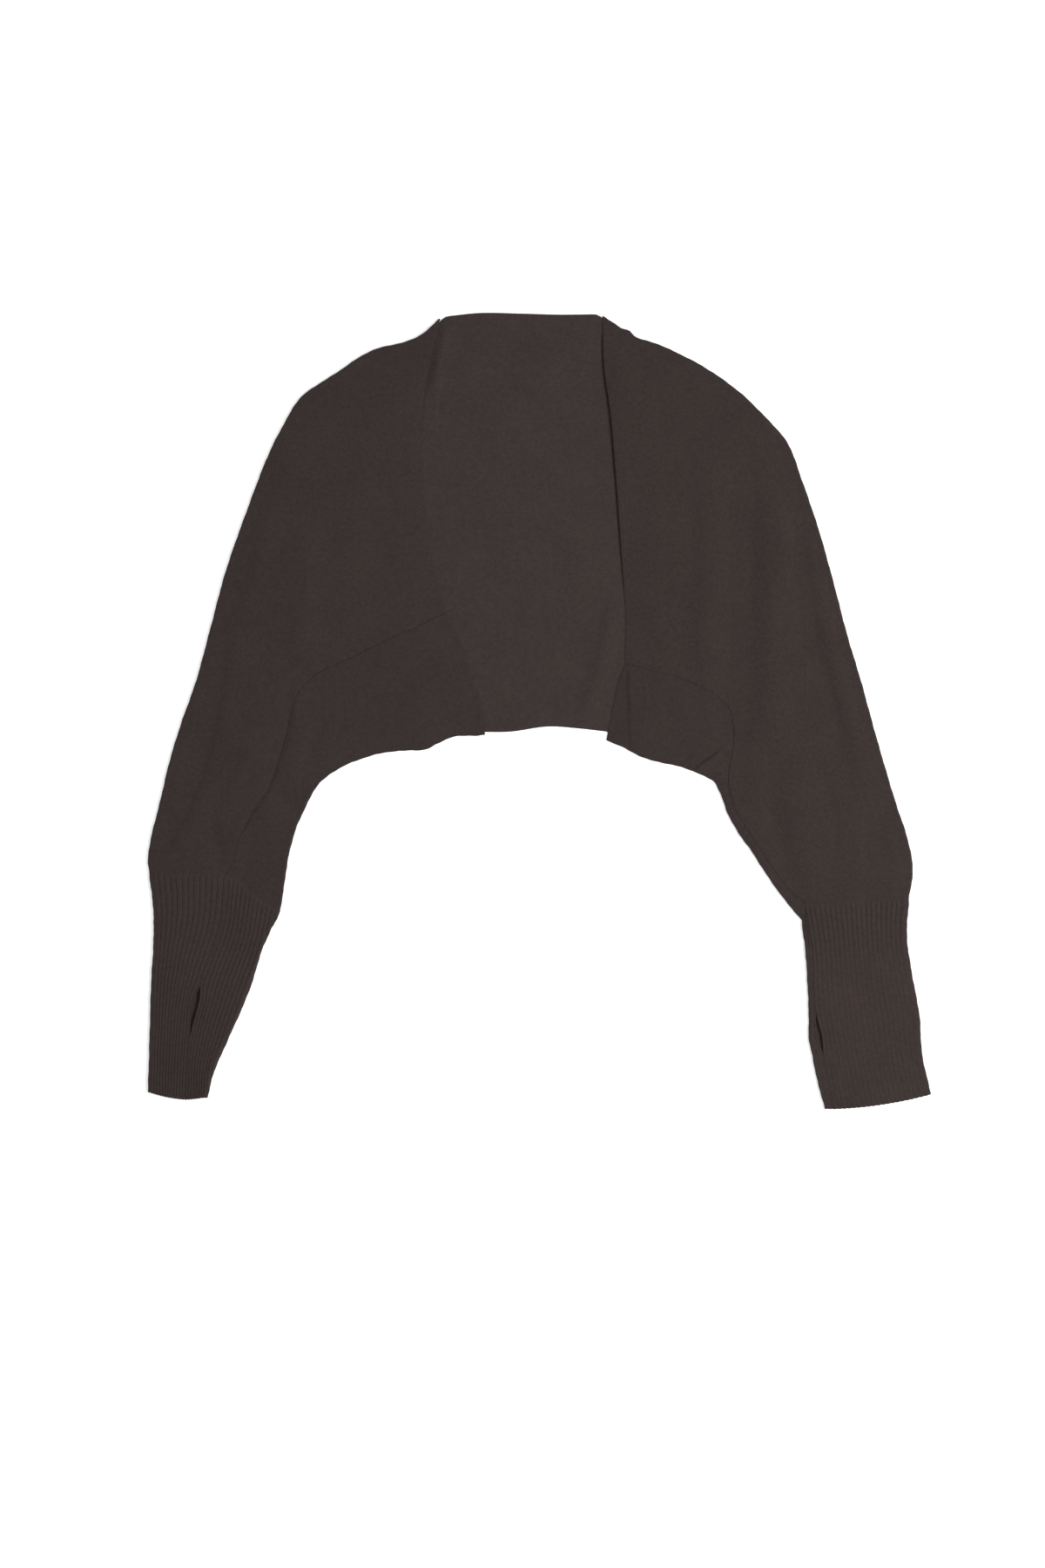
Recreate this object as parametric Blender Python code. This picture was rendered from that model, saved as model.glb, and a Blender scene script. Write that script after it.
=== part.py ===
"""Knitted open-front shrug with dolman sleeves and long ribbed cuffs, laid flat.

Metres, +Z up. The origin is under the garment's middle, on the surface that it lies on.
Left and right are those of a viewer who looks down on it with the neck at +Y.
"""
import math

import bpy
import numpy as np

# Cloth thicknesses and gaps
WALL = 0.0020
RIB_HEIGHT = 0.0008
SEAM_GAP = 0.0003
RIM_ROUNDING = 0.0012

# How far the upper layer stands off the lower one
SLEEVE_PUFF = 0.0018
CUFF_PUFF = 0.0009
PUFF_WIDTH = 0.016
CONTACT_SOFTNESS = 0.0004
CUFF_PUFF_END = -0.240
CUFF_PUFF_RAMP = 0.080
LEFT_FOLD_UNDER = 0.0028
LEFT_FOLD_WIDTH = 0.014
LEFT_FOLD_RAMP = 0.62

# Ribs and the parts of one rib's width at which its profile bends
LEFT_OUTER_RIBS = 13
LEFT_INNER_RIBS = 12
RIGHT_OUTER_RIBS = 20
RIGHT_INNER_RIBS = 2
RIB_PROFILE = ((0.0, 0.0), (0.28, 1.0), (0.72, 1.0))
SHORTEST_RIB = 0.03

# Thumb slits: where they start and end along the cuff, and half their width
LEFT_SLIT = (0.50, 0.74, 0.0028)
RIGHT_SLIT = (0.50, 0.72, 0.0027)

# Mesh steps
STATIONS_PER_SECTION = 2
STATIONS_PER_NECK_SECTION = 4
UPPER_STEPS = 15
LOWER_STEPS = 5
BACK_STEPS = 13
CUFF_ROWS = (0.0, 0.12, 0.25, 0.38, 0.49, 0.55, 0.62, 0.69, 0.75, 0.87, 1.0)
CUFF_BACK_STEPS = 5
FOLD_POINTS = 9
CUFF_EDGE_POINTS = 13
FINE_POINTS = 101
BOW_POWER = 4
SMOOTH_ANGLE = math.radians(50)

# Middle of the outline in the tables below, which becomes the origin
MIDDLE = (0.00075, 0.00035)

# Sections across each flattened sleeve and front, from the cuff to the opening edge, in mm:
# outer_x, outer_y, seam_x, seam_y, inner_x, inner_y
LEFT_SECTIONS = (
    (-357.0, -149.0, -283.5, -155.5, -238.0, -184.5),
    (-358.0, -135.0, -280.5, -139.0, -234.0, -159.0),
    (-355.0, -115.0, -274.0, -115.0, -230.0, -132.5),
    (-347.0, -83.0, -258.0, -87.0, -223.0, -107.0),
    (-338.5, -47.0, -246.0, -67.5, -214.5, -88.0),
    (-327.5, -11.0, -238.0, -44.5, -206.0, -72.0),
    (-313.5, 29.0, -231.0, -20.5, -194.5, -59.5),
    (-300.5, 77.0, -226.0, 1.0, -180.5, -50.5),
    (-286.5, 129.0, -220.5, 17.0, -166.5, -44.5),
    (-268.0, 182.0, -209.0, 30.0, -151.0, -39.5),
    (-248.5, 233.0, -192.5, 40.5, -135.0, -36.5),
    (-231.0, 267.5, -172.5, 49.0, -119.0, -35.5),
    (-216.5, 289.0, -152.5, 59.0, -104.0, -34.5),
    (-187.0, 309.0, -133.0, 68.5, -92.5, -29.0),
    (-154.0, 330.0, -115.5, 75.5, -79.0, -23.0),
    (-120.5, 339.0, -99.0, 84.5, -64.5, -22.0),
    (-104.5, 347.5, -91.5, 87.5, -56.5, -22.0),
    (-91.5, 361.0, -85.0, 91.0, -49.0, -21.5),
)
RIGHT_SECTIONS = (
    (339.5, -171.0, 248.5, -183.5, 242.0, -191.5),
    (343.0, -145.0, 231.0, -165.0, 225.0, -171.0),
    (338.0, -116.5, 215.5, -145.0, 210.0, -150.0),
    (327.5, -84.5, 202.0, -124.5, 196.5, -129.0),
    (315.5, -44.5, 190.5, -107.0, 184.0, -111.5),
    (306.0, -11.0, 181.0, -91.0, 174.5, -94.5),
    (295.5, 27.5, 175.0, -73.0, 169.0, -79.5),
    (282.5, 71.0, 174.5, -55.0, 163.0, -67.0),
    (270.0, 119.0, 178.0, -36.5, 154.0, -60.0),
    (256.5, 167.0, 179.0, -19.0, 142.0, -54.5),
    (240.5, 214.0, 176.5, -2.0, 128.5, -50.0),
    (228.0, 246.0, 169.0, 9.0, 115.0, -47.0),
    (205.0, 272.5, 156.5, 18.0, 103.5, -44.5),
    (181.0, 295.0, 142.0, 25.0, 94.0, -41.0),
    (149.0, 317.0, 127.0, 31.5, 86.0, -37.0),
    (111.5, 335.5, 105.0, 37.0, 75.5, -31.5),
    (87.0, 344.0, 93.0, 40.5, 68.5, -29.0),
    (59.5, 364.0, 79.0, 43.5, 62.0, -26.0),
)

# Sections of the back between the two neck points, in mm: neck_x, neck_y, hem_x, hem_y
NECK_SECTIONS = (
    (-91.5, 361.0, -49.0, -18.5),
    (-54.0, 365.0, -24.5, -18.0),
    (-16.5, 364.5, 7.5, -13.5),
    (21.0, 363.5, 35.0, -15.0),
    (59.5, 364.0, 62.0, -18.0),
)

# Opening edges in mm, evenly spaced: from the seam up to the neck, and from the hem up to the seam
LEFT_UPPER_EDGE = (
    (-85.0, 91.0),
    (-97.0, 135.5),
    (-103.5, 180.5),
    (-107.0, 225.0),
    (-107.0, 271.0),
    (-101.0, 315.5),
    (-91.5, 361.0),
)
LEFT_LOWER_EDGE = (
    (-49.0, -21.5),
    (-54.0, 7.0),
    (-61.5, 35.0),
    (-71.5, 63.0),
    (-85.0, 91.0),
)
RIGHT_UPPER_EDGE = (
    (79.0, 43.5),
    (79.5, 89.0),
    (76.5, 135.0),
    (73.5, 181.0),
    (70.0, 227.0),
    (66.0, 272.5),
    (60.0, 318.0),
    (59.5, 364.0),
)
RIGHT_LOWER_EDGE = (
    (62.0, -26.0),
    (65.5, -8.5),
    (69.0, 9.0),
    (72.5, 26.0),
    (79.0, 43.5),
)

# How far each cuff's hem bows out between its corners
CUFF_HEM_BOW = 0.0030

# Cuff edges in mm, evenly spaced from the sleeve to the hem
LEFT_CUFF_OUTER = (
    (-357.0, -149.0),
    (-353.0, -182.0),
    (-353.0, -216.0),
    (-355.0, -250.0),
    (-356.5, -300.0),
    (-358.0, -349.0),
)
LEFT_CUFF_SEAM = (
    (-283.5, -155.5),
    (-291.0, -196.0),
    (-307.5, -243.0),
    (-316.5, -277.0),
    (-321.5, -315.0),
    (-323.0, -353.0),
)
LEFT_CUFF_INNER = (
    (-238.0, -184.5),
    (-253.0, -215.0),
    (-266.0, -255.0),
    (-282.0, -293.0),
    (-298.0, -329.0),
    (-304.5, -354.0),
)
LEFT_CUFF_TURNED = ((-238.0, -184.5), (-262.0, -269.0), (-284.0, -354.0))
RIGHT_CUFF_OUTER = (
    (339.5, -171.0),
    (337.5, -207.0),
    (342.5, -243.0),
    (349.0, -279.0),
    (351.5, -315.0),
    (359.5, -351.0),
)
RIGHT_CUFF_SEAM = (
    (248.5, -183.5),
    (252.0, -219.5),
    (253.0, -255.5),
    (256.5, -291.5),
    (264.5, -327.5),
    (271.5, -363.5),
)
RIGHT_CUFF_INNER = (
    (242.0, -191.5),
    (246.0, -226.0),
    (248.0, -260.5),
    (249.5, -295.0),
    (254.5, -330.0),
    (263.5, -364.5),
)

# Where each side's sleeve opens into the hem, as a section number, and how much higher the back's hem lies
LEFT_HEM_START = 5
RIGHT_HEM_START = 7
HEM_RAMP_SECTIONS = 5
LEFT_HEM_RISE = 0.003
RIGHT_HEM_RISE = 0.008

# Folds of the upper layer, in mm: half width, height, then start, middle and end of the centre line.
# A trough has a negative height
FRONT_FOLDS = (
    (9, -2.4, -285, 61, -307, -35, -335, -115),
    (9, 2.2, -299, 37, -325, -35, -345, -100),
    (15, 2.4, -255, 61, -271, -27, -285, -91),
    (7, -3.2, -223, 21, -235, -31, -250, -75),
    (10, 1.8, -211, 1, -218, -35, -228, -66),
    (5, -2.2, -245, -71, -231, -79, -215, -87),
    (18, 3.0, -201, 205, -205, 109, -208, 35),
    (10, -2.4, 195, 221, 203, 101, 201, -3),
    (11, 3.0, 175, 205, 173, 109, 175, 13),
    (12, 3.0, 229, 205, 237, 29, 261, -107),
    (9, -2.4, 249, 133, 267, 37, 305, -107),
    (10, 2.0, 273, 61, 293, -11, 321, -91),
    (7, -2.0, 229, -67, 229, -107, 235, -155),
    (8, 1.8, 209, -91, 217, -131, 229, -171),
    (10, -2.0, 315, -115, 317, -155, 313, -195),
    (5, -2.4, 85, 40, 85, 5, 87, -35),
    (6, 2.0, 95, 36, 96, 5, 98, -33),
    (5, -2.4, 145, -53, 155, -45, 167, -37),
    (8, -2.0, 182, 13, 183, -35, 187, -83),
)

# Raised folds of the back between the fronts, in mm, in the same columns
BACK_FOLDS = (
    (13, 4.0, 62, 95, 54, 35, 44, -17),
    (42, 1.6, -30, 250, -30, 120, -12, 20),
)
BACK_CONTACT = 0.0004

# How a fold fades at its ends, in shares of its length
FOLD_OVERRUN = 0.12
FOLD_FADE = 0.35

# How far the opening edges stand off the back, in mm, by their height up the garment: y, lift
LEFT_EDGE_LIFT = (
    (-21, 0.6),
    (91, 0.5),
    (225, 0.5),
    (290, 1.6),
    (318, 3.2),
    (345, 2.4),
    (361, 0.2),
)
RIGHT_EDGE_LIFT = (
    (-26, 1.0),
    (43, 1.2),
    (130, 1.6),
    (180, 3.0),
    (225, 4.5),
    (275, 5.0),
    (335, 2.6),
    (364, 0.2),
)
EDGE_LIFT_WIDTH = 0.020

# Colours as linear red, green and blue
KNIT_COLOUR = (0.047, 0.036, 0.033, 1.0)
RIB_COLOUR = (0.044, 0.034, 0.031, 1.0)
KNIT_ROUGHNESS = 0.95


def metres(rows):
    return np.array(rows, float) * 0.001


def smooth_rows(rows, t):
    """Points on a smooth curve through the rows, where t counts rows."""
    rows = np.asarray(rows, float)
    padded = np.vstack([2 * rows[0] - rows[1], rows, 2 * rows[-1] - rows[-2]])
    i = np.clip(np.floor(t).astype(int), 0, len(rows) - 2)
    f = (t - i)[:, None]
    before, here, after, beyond = padded[i], padded[i + 1], padded[i + 2], padded[i + 3]
    bend = 2 * before - 5 * here + 4 * after - beyond
    twist = 3 * here - before - 3 * after + beyond
    return here + 0.5 * ((after - before) * f + bend * f**2 + twist * f**3)


def along(rows, share):
    """Points on the smooth curve through the rows, where share runs from 0 to 1."""
    return smooth_rows(rows, np.asarray(share, float) * (len(rows) - 1))


def ease(x):
    x = np.clip(x, 0.0, 1.0)
    return x * x * (3.0 - 2.0 * x)


def distance_to(points, line):
    """Shortest distance from each point to a polyline, and the share of the line where it lies."""
    starts = line[:-1]
    steps = line[1:] - line[:-1]
    offset = points[..., None, :] - starts
    length2 = np.maximum((steps**2).sum(-1), 1e-12)
    share = np.clip((offset * steps).sum(-1) / length2, 0.0, 1.0)
    gap = np.sqrt(((offset - share[..., None] * steps) ** 2).sum(-1))
    nearest = gap.argmin(-1)
    place = (nearest + np.take_along_axis(share, nearest[..., None], -1)[..., 0]) / len(steps)
    return gap.min(-1), place


def fold_height(points, folds):
    """Sum of soft ridges and troughs, each one fading out at its two ends."""
    total = np.zeros(points.shape[:-1])
    for half_width, height, *line in folds:
        centre = along(metres(line).reshape(3, 2), np.linspace(0, 1, FOLD_POINTS))
        gap, place = distance_to(points, centre)
        fade = ease((FOLD_OVERRUN + place) / FOLD_FADE) * ease((1 + FOLD_OVERRUN - place) / FOLD_FADE)
        total += 0.001 * height * fade * np.exp(-((gap / (0.001 * half_width)) ** 2))
    return total


def side_lines(sections, stations):
    """Outer, seam and inner lines of one side, from the cuff to the opening edge."""
    rows = smooth_rows(metres(sections), stations)
    return rows[:, 0:2], rows[:, 2:4], rows[:, 4:6]


def all_stations(sections):
    return np.linspace(0, len(sections) - 1, (len(sections) - 1) * STATIONS_PER_SECTION + 1)


def closed_edges():
    """Folded and sewn edges, where the two layers meet."""
    lines = []
    sides = (
        (LEFT_SECTIONS, LEFT_HEM_START, LEFT_CUFF_OUTER, LEFT_CUFF_INNER),
        (RIGHT_SECTIONS, RIGHT_HEM_START, RIGHT_CUFF_OUTER, RIGHT_CUFF_INNER),
    )
    for sections, hem_start, cuff_outer, cuff_inner in sides:
        outer, _, inner = side_lines(sections, all_stations(sections))
        share = np.linspace(0, 1, CUFF_EDGE_POINTS)
        lines.append(np.vstack([along(metres(cuff_outer), share)[::-1], outer]))
        sewn = inner[: hem_start * STATIONS_PER_SECTION + 1]
        lines.append(np.vstack([along(metres(cuff_inner), share)[::-1], sewn]))
    return lines


CLOSED_EDGES = closed_edges()


def back_arch(points):
    """Height of the lower layer's underside: flat, but for the folds between the fronts."""
    return np.maximum(fold_height(points, BACK_FOLDS) - BACK_CONTACT, 0.0)


def fold_under(points):
    """Rise of the left cuff's hidden layers, which are turned under along its inner edge."""
    gap, place = distance_to(points, along(metres(LEFT_CUFF_INNER), np.linspace(0, 1, CUFF_EDGE_POINTS)))
    return LEFT_FOLD_UNDER * ease(place / LEFT_FOLD_RAMP) * np.exp(-((gap / LEFT_FOLD_WIDTH) ** 2))


def edge_lift(points, upper_edge, lower_edge, lifts):
    line = np.vstack([metres(lower_edge)[:-1], metres(upper_edge)])
    gap, _ = distance_to(points, line)
    lift = np.interp(points[..., 1], metres(lifts)[:, 0], metres(lifts)[:, 1])
    return lift * np.exp(-((gap / EDGE_LIFT_WIDTH) ** 2))


def stand_off(points, puff):
    """How far the upper layer's inside lies above the lower layer."""
    gap = np.min([distance_to(points, line)[0] for line in CLOSED_EDGES], axis=0)
    free = 1.0 - np.exp(-((gap / PUFF_WIDTH) ** 2))
    raised = free * (puff + fold_height(points, FRONT_FOLDS))
    soft = 0.5 * (raised + np.sqrt(raised**2 + CONTACT_SOFTNESS**2))
    left = edge_lift(points, LEFT_UPPER_EDGE, LEFT_LOWER_EDGE, LEFT_EDGE_LIFT)
    right = edge_lift(points, RIGHT_UPPER_EDGE, RIGHT_LOWER_EDGE, RIGHT_EDGE_LIFT)
    return SEAM_GAP + soft + left + right


def with_height(points, height):
    return np.concatenate([points, height[..., None]], axis=-1)


def moved_in(grid, edge, distance):
    """The grid with one edge row or column moved towards its neighbour."""
    pairs = {"start": (0, 1), "end": (-1, -2)}
    columns = {"near": (0, 1), "far": (-1, -2)}
    moved = grid.copy()
    if edge in pairs:
        row, neighbour = pairs[edge]
        step = grid[neighbour] - grid[row]
        moved[row] += step / np.linalg.norm(step, axis=-1, keepdims=True) * distance
    else:
        column, neighbour = columns[edge]
        step = grid[:, neighbour] - grid[:, column]
        moved[:, column] += step / np.linalg.norm(step, axis=-1, keepdims=True) * distance
    return moved


def span(near, far, shares, end_edge=None):
    """Grid between two lines. Towards its last row the grid takes the curve of end_edge."""
    shares = np.asarray(shares, float)
    grid = near[:, None] * (1 - shares[:, None]) + far[:, None] * shares[:, None]
    if end_edge is None:
        return grid
    bow = along(metres(end_edge), shares) - along(metres(end_edge)[[0, -1]], shares)
    weight = np.linspace(0, 1, len(near)) ** BOW_POWER
    return grid + weight[:, None, None] * bow


def seam_side(seam, other, distance):
    """The seam line moved square to itself, towards the other line."""
    tangent = np.gradient(seam, axis=0)
    normal = np.stack([-tangent[:, 1], tangent[:, 0]], axis=-1)
    normal /= np.linalg.norm(normal, axis=-1, keepdims=True)
    normal *= np.sign((normal * (other - seam)).sum(-1, keepdims=True))
    return seam + normal * distance


def fabric(name, colour):
    material = bpy.data.materials.new(name)
    material.use_nodes = True
    shader = material.node_tree.nodes["Principled BSDF"]
    shader.inputs["Base Color"].default_value = colour
    shader.inputs["Roughness"].default_value = KNIT_ROUGHNESS
    shader.inputs["Metallic"].default_value = 0.0
    return material


def rim_faces(low, high, ratio):
    """Faces between one edge of the inside and the finer edge of the outside."""
    faces = []
    for i in range(len(low) - 1):
        fine = high[i * ratio: (i + 1) * ratio + 1]
        for k in range(ratio):
            faces.append((low[i], fine[k], fine[k + 1]))
        faces.append((low[i], fine[-1], low[i + 1]))
    return faces


def add_wall(name, low, high, material, ratio=1):
    """A closed wall between an inside grid and an outside grid with ratio times its columns."""
    rows, low_columns = low.shape[:2]
    high_columns = high.shape[1]
    low_ids = np.arange(rows * low_columns).reshape(rows, low_columns)
    high_ids = np.arange(rows * high_columns).reshape(rows, high_columns) + low_ids.size
    faces = []
    for ids, turned in ((low_ids, True), (high_ids, False)):
        corners = np.stack([ids[:-1, :-1], ids[1:, :-1], ids[1:, 1:], ids[:-1, 1:]], axis=-1)
        if turned:
            corners = corners[..., ::-1]
        faces += [tuple(int(i) for i in quad) for quad in corners.reshape(-1, 4)]
    faces += rim_faces(low_ids[0], high_ids[0], ratio)
    faces += [face[::-1] for face in rim_faces(low_ids[-1], high_ids[-1], ratio)]
    faces += [face[::-1] for face in rim_faces(low_ids[:, 0], high_ids[:, 0], 1)]
    faces += rim_faces(low_ids[:, -1], high_ids[:, -1], 1)
    points = np.vstack([low.reshape(-1, 3), high.reshape(-1, 3)])
    points[:, :2] -= MIDDLE
    mesh = bpy.data.meshes.new(name)
    mesh.from_pydata(points.tolist(), [], [tuple(int(i) for i in face) for face in faces])
    mesh.validate()
    point_out(mesh)
    mesh.shade_smooth()
    mesh.set_sharp_from_angle(angle=SMOOTH_ANGLE)
    mesh.materials.append(material)
    body = bpy.data.objects.new(name, mesh)
    bpy.context.collection.objects.link(body)
    return body


def point_out(mesh):
    """Turn every face if the mesh is inside out."""
    volume = 0.0
    for face in mesh.polygons:
        corners = [mesh.vertices[i].co for i in face.vertices]
        for k in range(1, len(corners) - 1):
            volume += corners[0].dot(corners[k].cross(corners[k + 1]))
    if volume < 0:
        mesh.flip_normals()


def add_back(material):
    """The back with both its sleeves, from one cuff over the body to the other."""
    left_outer, _, left_inner = side_lines(LEFT_SECTIONS, all_stations(LEFT_SECTIONS))
    right_outer, _, right_inner = side_lines(RIGHT_SECTIONS, all_stations(RIGHT_SECTIONS))
    left_inner = left_inner + hem_rise(LEFT_SECTIONS, LEFT_HEM_START, LEFT_HEM_RISE)
    right_inner = right_inner + hem_rise(RIGHT_SECTIONS, RIGHT_HEM_START, RIGHT_HEM_RISE)
    count = (len(NECK_SECTIONS) - 1) * STATIONS_PER_NECK_SECTION + 1
    middle = smooth_rows(metres(NECK_SECTIONS), np.linspace(0, len(NECK_SECTIONS) - 1, count))
    outer = np.vstack([left_outer[:-1], middle[:, 0:2], right_outer[-2::-1]])
    inner = np.vstack([left_inner[:-1], middle[:, 2:4], right_inner[-2::-1]])
    grid = span(inner, outer, np.linspace(0, 1, BACK_STEPS + 1))
    for end in ("start", "end"):
        grid = moved_in(grid, end, SEAM_GAP / 2)
    under = grid
    for side in ("near", "far"):
        under = moved_in(under, side, RIM_ROUNDING)
    low = with_height(under, back_arch(under))
    high = with_height(grid, back_arch(grid) + WALL)
    add_wall("back", low, high, material)


def hem_rise(sections, hem_start, rise):
    """How far the back's hem lies above the fronts' hem, at each station."""
    share = ease((all_stations(sections) - hem_start) / HEM_RAMP_SECTIONS)
    return np.stack([np.zeros_like(share), share * rise], axis=-1)


def add_front_wall(name, grid, material, rim):
    """A wall of the upper layer, whose outside is drawn in at its rim."""
    low = with_height(grid, back_arch(grid) + WALL + stand_off(grid, SLEEVE_PUFF))
    top = moved_in(grid, rim, RIM_ROUNDING)
    high = with_height(top, back_arch(top) + 2 * WALL + stand_off(top, SLEEVE_PUFF))
    add_wall(name, low, high, material)


def add_front(side, sections, upper_edge, lower_edge, material):
    """One front with its sleeve, and the lower band that runs on into the underarm."""
    outer, seam, inner = side_lines(sections, all_stations(sections))
    upper_seam = seam_side(seam, outer, SEAM_GAP / 2)
    lower_seam = seam_side(seam, inner, SEAM_GAP / 2)
    upper = span(upper_seam, outer, np.linspace(0, 1, UPPER_STEPS + 1), upper_edge)
    upper = moved_in(upper, "start", SEAM_GAP / 2)
    add_front_wall("front_" + side, upper, material, "far")
    lower = span(inner, lower_seam, np.linspace(0, 1, LOWER_STEPS + 1), lower_edge)
    lower = moved_in(lower, "start", SEAM_GAP / 2)
    add_front_wall("lower_front_" + side, lower, material, "near")


def slit_bow(rows, slit):
    """How far a thumb slit's lip stands back from the cuff's seam, at each row."""
    start, end, half_width = slit
    share = np.clip((rows - start) / (end - start), 0.0, 1.0)
    return np.maximum(half_width * np.sin(math.pi * share), SEAM_GAP / 2)


def bowed_hem(grid, inner, outer):
    """The cuff's grid with its hem bowed outwards between its two corners."""
    chord = outer[-1] - inner[-1]
    across = np.clip((grid - inner[-1]) @ chord / (chord @ chord), 0.0, 1.0)
    square = np.array([chord[1], -chord[0]]) / np.linalg.norm(chord)
    down = -square * np.sign(square[1])
    weight = (np.linspace(0, 1, len(grid)) ** BOW_POWER)[:, None]
    bulge = CUFF_HEM_BOW * 4 * across * (1 - across) * weight
    return grid + bulge[..., None] * down


def rib_shares(ribs):
    """Places across a panel, and rises, of the bends of all its ribs."""
    shares = [(rib + place) / ribs for rib in range(ribs) for place, _ in RIB_PROFILE]
    rises = [rise for _ in range(ribs) for _, rise in RIB_PROFILE]
    return np.array(shares + [1.0]), np.array(rises + [0.0])


def cuff_heights(points, turned_under):
    """Height of a cuff's upper layer, on its inside."""
    share = ease((points[..., 1] - CUFF_PUFF_END) / CUFF_PUFF_RAMP)
    puff = CUFF_PUFF + (SLEEVE_PUFF - CUFF_PUFF) * share
    height = WALL + stand_off(points, puff)
    if turned_under:
        height = height + fold_under(points)
    return height


def add_cuff_front(name, grid, ribs, turned_under, rim, material):
    """A ribbed panel of a cuff: ribs stand up on its outside, and its inside is plain."""
    _, rises = rib_shares(ribs)
    ratio = len(RIB_PROFILE)
    grid = moved_in(grid, "start", SEAM_GAP / 2)
    inside = grid[:, ::ratio]
    top = moved_in(grid, rim, RIM_ROUNDING)
    low = with_height(inside, cuff_heights(inside, turned_under))
    high = with_height(top, cuff_heights(top, turned_under) + WALL + rises * RIB_HEIGHT)
    add_wall(name, low, high, material, ratio)


def add_cuff_back(name, inner, outer, turned_under, material):
    """The lower layer of a cuff, flat underneath."""
    grid = bowed_hem(span(inner, outer, np.linspace(0, 1, CUFF_BACK_STEPS + 1)), inner, outer)
    grid = moved_in(grid, "start", SEAM_GAP / 2)
    under = grid
    for side in ("near", "far"):
        under = moved_in(under, side, RIM_ROUNDING)
    rise = fold_under(grid) if turned_under else np.zeros(grid.shape[:-1])
    low = with_height(under, np.zeros(under.shape[:-1]))
    high = with_height(grid, WALL + rise)
    add_wall(name, low, high, material)


def turned_grid(seam, turned, inner, shares, rows):
    """Grid whose ribs end one by one where the cuff's inner edge is turned under."""
    fine = np.linspace(0, 1, FINE_POINTS)
    seam_fine = along(seam, fine)
    width = np.linalg.norm(along(inner, fine) - seam_fine, axis=-1)
    full = np.linalg.norm(along(turned, fine) - seam_fine, axis=-1)
    reach = np.minimum.accumulate(np.minimum(width / full, 1.0))
    ends = np.interp(shares, reach[::-1], fine[::-1])
    ends = np.maximum(ends, SHORTEST_RIB)
    columns = []
    for share, end in zip(shares, ends):
        places = rows * end
        near = along(seam, places) + lip_offset(seam, turned, places)
        columns.append(near * (1 - share) + along(turned, places) * share)
    return np.stack(columns, axis=1)


def lip_offset(seam, turned, places):
    """Offset of the left cuff's inner lip from the seam, at given places along it."""
    towards = along(turned, places) - along(seam, places)
    towards /= np.linalg.norm(towards, axis=-1, keepdims=True)
    return towards * slit_bow(places, LEFT_SLIT)[:, None]


def add_left_cuff(material):
    rows = np.array(CUFF_ROWS)
    outer = along(metres(LEFT_CUFF_OUTER), rows)
    seam = along(metres(LEFT_CUFF_SEAM), rows)
    inner = along(metres(LEFT_CUFF_INNER), rows)
    towards = (outer - seam) / np.linalg.norm(outer - seam, axis=-1, keepdims=True)
    lip = seam + towards * slit_bow(rows, LEFT_SLIT)[:, None]
    shares, _ = rib_shares(LEFT_OUTER_RIBS)
    grid = bowed_hem(span(lip, outer, shares), inner, outer)
    add_cuff_front("cuff_left_front_outer", grid, LEFT_OUTER_RIBS, True, "far", material)
    shares, _ = rib_shares(LEFT_INNER_RIBS)
    grid = turned_grid(
        metres(LEFT_CUFF_SEAM), metres(LEFT_CUFF_TURNED), metres(LEFT_CUFF_INNER), shares, rows
    )
    grid = bowed_hem(grid, inner, outer)
    add_cuff_front("cuff_left_front_inner", grid, LEFT_INNER_RIBS, True, "far", material)
    add_cuff_back("cuff_left_back", inner, outer, True, material)


def add_right_cuff(material):
    rows = np.array(CUFF_ROWS)
    outer = along(metres(RIGHT_CUFF_OUTER), rows)
    seam = along(metres(RIGHT_CUFF_SEAM), rows)
    inner = along(metres(RIGHT_CUFF_INNER), rows)
    bow = slit_bow(rows, RIGHT_SLIT)[:, None]
    towards = (outer - seam) / np.linalg.norm(outer - seam, axis=-1, keepdims=True)
    shares, _ = rib_shares(RIGHT_OUTER_RIBS)
    grid = bowed_hem(span(seam + towards * bow, outer, shares), inner, outer)
    add_cuff_front("cuff_right_front_outer", grid, RIGHT_OUTER_RIBS, False, "far", material)
    shares, _ = rib_shares(RIGHT_INNER_RIBS)
    grid = bowed_hem(span(seam - towards * bow, inner, shares), inner, outer)
    add_cuff_front("cuff_right_front_inner", grid, RIGHT_INNER_RIBS, False, "far", material)
    add_cuff_back("cuff_right_back", inner, outer, False, material)


def main():
    for item in list(bpy.data.objects):
        bpy.data.objects.remove(item, do_unlink=True)
    knit = fabric("knit_cloth", KNIT_COLOUR)
    rib = fabric("rib_cloth", RIB_COLOUR)
    add_back(knit)
    add_front("left", LEFT_SECTIONS, LEFT_UPPER_EDGE, LEFT_LOWER_EDGE, knit)
    add_front("right", RIGHT_SECTIONS, RIGHT_UPPER_EDGE, RIGHT_LOWER_EDGE, knit)
    add_left_cuff(rib)
    add_right_cuff(rib)


main()
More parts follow.
